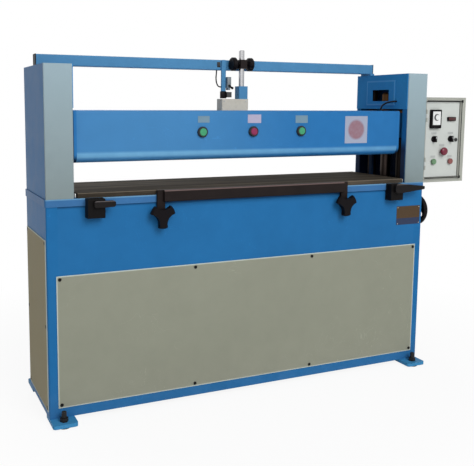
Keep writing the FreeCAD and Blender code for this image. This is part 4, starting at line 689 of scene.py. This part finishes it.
def bend_highlight_and_pale_left(nodes, place):
    """The painted highlight along the lower bend, and the paler left end."""
    off = abs(along(nodes, place, 2) - BEND_MIDDLE)
    band = fade(nodes, off, BEND_SOFT, BEND_SHARP, curve="SMOOTHSTEP")
    pale_left = fade(nodes, along(nodes, place, 0), PALE_LEFT_START, PALE_LEFT_FULL, curve="SMOOTHSTEP")
    unevenness = patches(nodes, place, 14.0, 3.0)
    return band * (0.30 + 0.3 * unevenness) + pale_left * PALE_LEFT_STRENGTH


def link_shade(nodes, place):
    """Painted shade on the links that hang from the lugs, below the beam."""
    return fade(nodes, along(nodes, place, 2), LINK_SHADE_START, LINK_SHADE_FULL, curve="SMOOTHSTEP")


beam_paint = paint("blue_beam_enamel", BEAM_BLUE, rough=0.34, overlay=bend_highlight_and_pale_left, overlay_colour=BEAM_PALE)
finish(beam_paint, "press_beam")
# The lugs' paint turns dark below the beam: painted shade on the links.
lug_paint = paint("shaded_lug_enamel", LUG_BLUE, rough=0.5, overlay=link_shade, overlay_colour=LINK_SHADE_DARK, ior=1.11)
finish(lug_paint, "beam_end_lugs")

# Beam buttons: three sprung push-buttons, two green and one red, moulded in glossy plastic.
# Each sits in a turned dark metal ring that is screwed through the beam's face.
BEZEL_DARK, CAP_GREEN, CAP_RED = (0.035, 0.035, 0.037), (0.038, 0.285, 0.13), (0.21, 0.012, 0.067)
bezel_metal = steel("dark_bezel_metal", BEZEL_DARK, rough=0.3, brush=(1.0, 1.0, 1.0), metal=0.5)
finish(bezel_metal, "button_bezels")
green_cap = moulded("green_cap_plastic", CAP_GREEN, rough=0.22, grain=0.04)
finish(green_cap, "beam_button_left", "beam_button_right")
red_cap = moulded("red_cap_plastic", CAP_RED, rough=0.22, grain=0.04)
finish(red_cap, "beam_button_center")

# Label cards: small bare plastic cards, glued to the beam's face over the three buttons.
# The outer two are grey-blue and the middle one is pink.
CARD_THICK, CARD_RIM = 0.001, 0.002
CARD_BLUE, CARD_PINK = (0.134, 0.232, 0.308), (0.36, 0.34, 0.47)
BEAM_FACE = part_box("press_beam")[0].y
label_card = moulded("label_card", CARD_BLUE, rough=0.5, grain=0.05, spread=0.06)
pink_card = moulded("pink_card", CARD_PINK, rough=0.5, grain=0.05, spread=0.08)
for label_name, label_x, label_z, width, height, card in (
    ("left_label", -0.3837, 1.2124, 0.054, 0.028, label_card),
    ("middle_label", -0.1410, 1.2141, 0.066, 0.037, pink_card),
    ("right_label", 0.0993, 1.2117, 0.064, 0.034, label_card),
):
    fix(blank_plate(width, height, CARD_THICK, CARD_RIM), label_name, (label_x, BEAM_FACE, label_z),
        "front", card, "beam")

# Disc card: a larger pale plastic card, glued to the beam's face near its right end.
# A plain disc, faded and uneven, fills its middle.
DISC_SPOT = Vector((0.3983, BEAM_FACE, 1.162))
DISC_SIDE, DISC_RADIUS, DISC_CORE = 0.126, 0.050, 0.039
DISC_PALE, DISC_RED = (0.295, 0.33, 0.435), (0.225, 0.085, 0.105)


def faded_disc(name, centre, card, disc):
    """A pale card with a plain faded disc printed in its middle."""
    nodes = Nodes(bpy.data.materials.new(name))
    place = on_piece(nodes)
    away = nodes.node("ShaderNodeVectorMath", {"operation": "SUBTRACT"}, {0: place, 1: centre})
    reach = nodes.node("ShaderNodeVectorMath", {"operation": "LENGTH"}, {0: away}, 1)
    overlay = patches(nodes, place, 70.0, 3.0)
    inside = fade(nodes, reach, DISC_RADIUS, DISC_CORE) * (0.6 + 0.4 * overlay)
    nodes.feed(nodes.tree.nodes["Principled BSDF"], {
        "Base Color": mixed(nodes, inside, (*card, 1.0), (*disc, 1.0)), "Roughness": 0.45 + 0.15 * (overlay - 0.5)})
    return nodes.owner


disc_card = faded_disc("faded_disc_card", DISC_SPOT, DISC_PALE, DISC_RED)
fix(blank_plate(DISC_SIDE, DISC_SIDE, CARD_THICK, CARD_RIM), "disc_card", DISC_SPOT,
    "front", disc_card, "beam")

# Switch box: a moulded beige plastic case, screwed to the middle of the beam's top.
# A thin lid is let into its top, and two plated screws in its face hold the switch inside.
CASE_BEIGE, PLATED_GREY = (0.54, 0.50, 0.42), (0.42, 0.42, 0.41)
LID_BORDER, LID_THICK, LID_EDGE, LID_SINK = 0.008, 0.0022, 0.0012, 0.0021
CASE_SCREW_RADIUS, CASE_SCREW_DROP, CASE_SCREW_INSET = 0.0035, 0.010, 0.012
beige_case = moulded("beige_case", CASE_BEIGE, rough=0.5)
finish(beige_case, "switch_box")
low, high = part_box("switch_box")
lid = bevelled(start_block(high.x - low.x - LID_BORDER, high.y - low.y - LID_BORDER, LID_THICK), LID_EDGE)
fix(lid, "switch_box_lid", ((low.x + high.x) / 2, (low.y + high.y) / 2, high.z - LID_SINK),
    "up", beige_case, "beam")
plated_steel = steel("plated_screws", PLATED_GREY, rough=0.35, brush=(1.0, 1.0, 1.0))
spots = [(x, low.y, high.z - CASE_SCREW_DROP) for x in (low.x + CASE_SCREW_INSET, high.x - CASE_SCREW_INSET)]
fix_copies(screw_head(CASE_SCREW_RADIUS, SCREW_RISE), numbered("switch_box_screw", spots, "front"),
           plated_steel, "beam")

# Power unit: an oil tank folded from sheet steel with the pump's motor beside it, both sprayed grey.
# The valve block, the pressure pipes and the relief valve are bare machined steel, bolted and screwed together.
TANK_GREY, VALVE_GREY = (0.10, 0.12, 0.13), (0.42, 0.41, 0.39)
tank_paint = paint("grey_tank_paint", TANK_GREY, rough=0.45)
finish(tank_paint, "oil_tank", "pump_motor")
valve_steel = steel("valve_steel", VALVE_GREY, rough=0.36, brush=(1.0, 12.0, 12.0))
finish(valve_steel, "valve_manifold", "pressure_pipes", "relief_valve")

# Pressure handwheel: a small spoked wheel of black thermoset, moulded in one piece.
# It is pinned to the relief valve's spindle, where that comes out of the cabinet's right end.
finish(black_moulding, "pressure_handwheel")

# Crossbar: a square steel tube on two welded feet across the tops of the towers, sprayed a paler blue.
# Two rubber straps on its face hold the switch lead, and black moulded caps close its ends.
BAR_BLUE, CLIP_BLACK = (0.074, 0.232, 0.425), (0.02, 0.02, 0.02)
BAR_FACE, BAR_DEPTH, BAR_HEIGHT = 0.110, 0.048, 0.047
CLIP_WIDTH, CLIP_HEIGHT, CLIP_RISE = 0.016, 0.024, 0.007
END_CAP_LAP, END_CAP_THICK, END_CAP_EDGE = 0.002, 0.0038, 0.0009
END_CAP_BORDER, END_CAP_DISH = 0.007, 0.0012
bar_paint = paint("bar_enamel", BAR_BLUE, rough=0.4)
finish(bar_paint, "top_crossbar")
clip_rubber = moulded("clip_rubber", CLIP_BLACK, rough=0.6)


def cable_clip(width, height, rise):
    """A strap with a flat border and a raised middle."""
    clip = start_block(width, height, rise * 0.3)
    extrude_top(clip, width * 0.2, rise * 0.7)
    return bevelled(clip, width * 0.07)


spots = [(-0.187, BAR_FACE, 1.459), (-0.165, BAR_FACE, 1.456)]
fix_copies(cable_clip(CLIP_WIDTH, CLIP_HEIGHT, CLIP_RISE), numbered("bar_clip", spots, "front"),
           clip_rubber, "base")
low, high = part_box("top_crossbar")
end_cap = start_block(BAR_DEPTH + END_CAP_LAP, BAR_HEIGHT + END_CAP_LAP, END_CAP_THICK)
step_top(end_cap, END_CAP_BORDER, -END_CAP_DISH)
bar_y, bar_z = BAR_FACE + BAR_DEPTH / 2, high.z - BAR_HEIGHT / 2
seats = [(f"{side}_bar_plug", (end, bar_y, bar_z), side) for side, end in (("left", low.x), ("right", high.x))]
fix_copies(bevelled(end_cap, END_CAP_EDGE), seats, black_moulding, "base")

# Stroke setter: a blacked steel clamp on the crossbar that grips a ground rod between two black star knobs.
# A blue foot block on the rod's lower end meets the switch box on the beam.
ROD_GREY = (0.45, 0.45, 0.46)
finish(fence_steel, "rod_clamp")
rod_steel = steel("ground_rod_steel", ROD_GREY, rough=0.2, brush=(6.0, 6.0, 0.4), spread=0.08, grain=0.02)
finish(rod_steel, "setting_rod")
finish(bar_paint, "rod_foot_block")
finish(black_moulding, "left_star_knob", "right_star_knob")

# Limit switches: two plastic-cased switches, screwed to a blue steel post that hangs from the crossbar.
# A blacked steel lever works the upper one, a grey flap covers its front, and a black sleeve ends the post.
SWITCH_GREY, SWITCH_BLACK, SWITCH_SPLIT = (0.13, 0.17, 0.21), (0.022, 0.018, 0.014), 1.338
SLEEVE_LAP, SLEEVE_HEIGHT, SLEEVE_DROP = 0.006, 0.032, 0.001
SLEEVE_BORDER, SLEEVE_CROWN, SLEEVE_EDGE = 0.0025, 0.0015, 0.0015
FLAP_WIDTH, FLAP_HEIGHT, FLAP_THICK, FLAP_EDGE = 0.017, 0.036, 0.0015, 0.0007
FLAP_INSET, FLAP_DROP, FLAP_GREY = 0.0105, 0.022, (0.20, 0.22, 0.23)
finish(bar_paint, "switch_post")
finish(two_tone("switch_cases", SWITCH_GREY, SWITCH_BLACK, SWITCH_SPLIT, metal=0.0), "limit_switches")
lever_steel = steel("lever_steel", LEVER_BLACK, rough=0.4, brush=(0.5, 18.0, 18.0), metal=0.3, ior=1.2)
finish(lever_steel, "switch_lever")
low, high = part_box("switch_post")
sleeve = start_block(high.x - low.x + SLEEVE_LAP, high.y - low.y + SLEEVE_LAP, SLEEVE_HEIGHT)
step_top(sleeve, SLEEVE_BORDER, SLEEVE_CROWN)
fix(bevelled(sleeve, SLEEVE_EDGE), "post_sleeve", ((low.x + high.x) / 2, (low.y + high.y) / 2, low.z - SLEEVE_DROP),
    "up", black_moulding, "base")
low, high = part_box("limit_switches")
flap = bevelled(start_block(FLAP_WIDTH, FLAP_HEIGHT, FLAP_THICK), FLAP_EDGE)
flap_plastic = moulded("grey_switch_cover", FLAP_GREY, rough=0.45)
fix(flap, "switch_cover", (low.x + FLAP_INSET, low.y, high.z - FLAP_DROP),
    "front", flap_plastic, "base")

# Leads: two round rubber-sheathed leads, one from the crossbar to the limit switches and one from the beam's top
# to the right guard. Each is drawn as one smooth line through the points of its route.
SHEATH_BLACK = (0.005, 0.005, 0.006)
rubber = moulded("black_rubber_sheath", SHEATH_BLACK, rough=0.6, ior=1.25)


def lead(name, route, radius):
    """A round lead along one smooth line, and the points of that line."""
    line = bpy.data.curves.new(f"{name}_line", "CURVE")
    line.dimensions = "3D"
    spline = line.splines.new("NURBS")
    spline.points.add(len(route) - 1)
    for point, spot in zip(spline.points, route):
        point.co = (*spot, 1.0)
    spline.order_u = 3
    spline.use_endpoint_u = True
    spline.resolution_u = 12
    guide = bpy.data.objects.new(f"{name}_guide", line)
    scene.collection.objects.link(guide)
    thread = bpy.data.meshes.new_from_object(guide)
    path = [tuple(point.co) for point in thread.vertices]
    bpy.data.meshes.remove(thread)
    line.bevel_depth = radius
    line.bevel_resolution = 5
    line.use_fill_caps = True
    sheath = bpy.data.meshes.new_from_object(guide)
    bpy.data.objects.remove(guide)
    bpy.data.curves.remove(line)
    sheath.name = name
    sheath.materials.clear()
    sheath.materials.append(rubber)
    sheath.shade_smooth()
    piece = bpy.data.objects.new(name, sheath)
    scene.collection.objects.link(piece)
    return piece, path


switch_route = [
    (-0.193, 0.120, 1.434), (-0.193, 0.120, 1.420), (-0.201, 0.109, 1.3999),
    (-0.200, 0.106, 1.37595), (-0.190, 0.106, 1.3566), (-0.175, 0.106, 1.3566),
]
switch_lead, switch_path = lead("switch_lead", switch_route, 0.003)
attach(switch_lead, "base")
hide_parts("switch_cable")
beam_route = [
    (0.614, -0.060, 1.249), (0.614, -0.060, 1.267), (0.622, -0.084, 1.287),
    (0.638, -0.122, 1.295), (0.658, -0.122, 1.295),
]
beam_lead, beam_path = lead("beam_lead", beam_route, 0.004)
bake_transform(beam_lead)
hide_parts("beam_cable")

# Control box: a case folded from sheet steel, sprayed pale grey and bolted to the right tower.
# A strip of black rubber lines the doorway on three sides, with a thicker piece at each corner by the latch.
BOX_GREY = (0.365, 0.375, 0.335)
DOORWAY_X, DOORWAY_Z, DOORWAY_WIDTH, DOORWAY_HEIGHT = 0.928, 1.108, 0.214, 0.376
GASKET, GASKET_THICK, HINGE_GAP = 0.0045, 0.0012, 0.02
CORNER_WIDTH, CORNER_HEIGHT, CORNER_THICK, CORNER_EDGE = 0.011, 0.013, 0.0022, 0.0007
CORNER_OUT, CORNER_UP = 0.0045, 0.0015
case_paint = paint("box_frame_paint", BOX_GREY, rough=0.45, peel=0.1, scratches=0.08, spread=0.03)
finish(case_paint, "control_box")
BOX_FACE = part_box("control_box")[0].y


def cut_frame(width, height, thick, gap_width, gap_height, gap_x):
    """A flat strip round a square gap, which is cut out of a plate."""
    cutter = start_block(gap_width, gap_height, thick * 3)
    cutter.data.transform(Matrix.Translation((gap_x, 0.0, -thick)))
    plate = start_block(width, height, thick)
    gap = plate.modifiers.new("gap", "BOOLEAN")
    gap.object = cutter
    bpy.ops.object.modifier_apply(modifier=gap.name)
    bpy.data.objects.remove(cutter)
    return bevelled(plate, thick * 0.25, 1)


gasket = cut_frame(DOORWAY_WIDTH + 2 * GASKET, DOORWAY_HEIGHT + 2 * GASKET, GASKET_THICK,
                   DOORWAY_WIDTH + HINGE_GAP, DOORWAY_HEIGHT, -HINGE_GAP / 2)
fix(gasket, "door_gasket", (DOORWAY_X, BOX_FACE, DOORWAY_Z), "front", rubber, "base")
corner_x, corner_z = DOORWAY_X + DOORWAY_WIDTH / 2 + CORNER_OUT, DOORWAY_HEIGHT / 2 + CORNER_UP
spots = [(corner_x, BOX_FACE, DOORWAY_Z + end * corner_z) for end in (-1, 1)]
corner = bevelled(start_block(CORNER_WIDTH, CORNER_HEIGHT, CORNER_THICK), CORNER_EDGE)
fix_copies(corner, numbered("gasket_corner", spots, "front"), rubber, "base")

# Door and latch: a flat sheet-steel door in the case's front, hung on two hinges and sprayed nearly white.
# A dull steel latch turns in its right edge.
DOOR_WHITE, LATCH_GREY = (0.53, 0.555, 0.53), (0.05, 0.05, 0.05)
DOOR_FACE = -0.148
box_paint = paint("pale_box_paint", DOOR_WHITE, rough=0.45, peel=0.1, scratches=0.08, spread=0.03)
finish(box_paint, "box_door")
latch_steel = steel("dull_latch_steel", LATCH_GREY, rough=0.4, brush=(1.0, 1.0, 1.0))
finish(latch_steel, "door_latch")

# Timer and signal lamp: black moulded cases, pressed into the door from the front.
# The timer has a white window with a grey dial and a white knob, and the lamp has a dark red lens.
DIAL_WHITE, DIAL_GREY, LENS_RED = (0.72, 0.73, 0.72), (0.09, 0.09, 0.095), (0.060, 0.010, 0.010)
LEFT_ROW, MIDDLE_ROW, RIGHT_ROW = 0.875, 0.928, 0.981
TIMER_FACE, TIMER_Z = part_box("door_instruments")[0].y, 1.210
WINDOW_WIDTH, WINDOW_HEIGHT, WINDOW_THICK, WINDOW_UP = 0.048, 0.066, 0.0016, 0.004
WINDOW_BORDER, WINDOW_DISH, WINDOW_EDGE = 0.003, 0.0007, 0.0004
DIAL_RADIUS, DIAL_RISE, DIAL_OUT, DIAL_UP = 0.0165, 0.0020, 0.0008, 0.008
KNOB_RADIUS, KNOB_RISE, KNOB_OUT, KNOB_SHIFT = 0.0125, 0.0016, 0.0024, 0.0035
LENS_WIDTH, LENS_HEIGHT, LENS_THICK, LENS_EDGE, LENS_OUT = 0.046, 0.015, 0.003, 0.0013, 0.008
finish(black_moulding, "door_instruments")
white_dial = moulded("white_dial", DIAL_WHITE, rough=0.3, grain=0.02, spread=0.03)
dial_grey = moulded("dial_grey", DIAL_GREY, rough=0.4)
lamp_lens = moulded("lamp_lens", LENS_RED, rough=0.18, grain=0.02)


def dial_disc(radius, rise):
    """A low disc with a turned step."""
    disc = start_round(radius, rise, 40)
    step_top(disc, radius * 0.12, -rise * 0.2)
    return bevelled(disc, rise * 0.15, 1)


timer_window = start_block(WINDOW_WIDTH, WINDOW_HEIGHT, WINDOW_THICK)
step_top(timer_window, WINDOW_BORDER, -WINDOW_DISH)
fix(bevelled(timer_window, WINDOW_EDGE, 1), "timer_window", (LEFT_ROW, TIMER_FACE, TIMER_Z + WINDOW_UP),
    "front", white_dial, "box_door")
fix(dial_disc(DIAL_RADIUS, DIAL_RISE), "timer_dial", (LEFT_ROW, TIMER_FACE - DIAL_OUT, TIMER_Z + DIAL_UP),
    "front", dial_grey, "box_door")
fix(dial_disc(KNOB_RADIUS, KNOB_RISE), "timer_knob", (LEFT_ROW + KNOB_SHIFT, TIMER_FACE - KNOB_OUT, TIMER_Z + DIAL_UP),
    "front", white_dial, "box_door")
lens = bevelled(start_block(LENS_WIDTH, LENS_HEIGHT, LENS_THICK), LENS_EDGE)
fix(lens, "lamp_lens", (RIGHT_ROW, DOOR_FACE - LENS_OUT, TIMER_Z), "front", lamp_lens, "box_door")

# Label strips: narrow bare strips of grey plastic, glued to the door over the selectors and the buttons.
# Each has a slightly raised rim.
STRIP_GREY = (0.40, 0.42, 0.41)
STRIP_HEIGHT, STRIP_THICK, STRIP_RIM = 0.010, 0.0009, 0.0012
strip_print = moulded("strip_print", STRIP_GREY, rough=0.5, grain=0.04)
for strip_name, strip_x, strip_z, strip_width in (
    ("selector_strip_left", LEFT_ROW, 1.140, 0.034),
    ("selector_strip_right", RIGHT_ROW, 1.140, 0.034),
    ("stop_strip", MIDDLE_ROW, 1.080, 0.034),
    ("start_strip", LEFT_ROW, 1.024, 0.030),
    ("halt_strip", RIGHT_ROW, 1.024, 0.030),
):
    fix(blank_plate(strip_width, STRIP_HEIGHT, STRIP_THICK, STRIP_RIM), strip_name, (strip_x, DOOR_FACE, strip_z),
        "front", strip_print, "box_door")

# Selectors: two turning switches with black moulded grips, held in the door by ring nuts.
# A thin white bar on each grip shows which way it points.
MARK_WIDTH, MARK_HEIGHT, MARK_THICK, MARK_EDGE, MARK_Z = 0.0024, 0.012, 0.0008, 0.0003, 1.118
finish(black_moulding, "left_selector", "right_selector")
mark = bevelled(start_block(MARK_WIDTH, MARK_HEIGHT, MARK_THICK), MARK_EDGE, 1)
for bar, selector_name, selector_x in (
    (mark, "left_selector", LEFT_ROW), (twin_of(mark), "right_selector", RIGHT_ROW),
):
    fix(bar, f"{selector_name}_mark", (selector_x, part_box(selector_name)[0].y, MARK_Z),
        "front", white_dial, selector_name)

# Box buttons: a crimson mushroom button for stopping at once, and a green and a red push-button below it.
# All three are moulded in glossy plastic and sprung in bodies that are clamped through the door.
STOP_CRIMSON, BUTTON_RED, BUTTON_GREEN = (0.145, 0.008, 0.027), (0.215, 0.066, 0.061), (0.12, 0.235, 0.125)
for button_name, plastic_name, colour, rough in (
    ("emergency_stop", "crimson_cap_plastic", STOP_CRIMSON, 0.25),
    ("stop_button", "faded_red_plastic", BUTTON_RED, 0.3),
    ("start_button", "faded_green_plastic", BUTTON_GREEN, 0.3),
):
    finish(moulded(plastic_name, colour, rough=rough, grain=0.04), button_name)
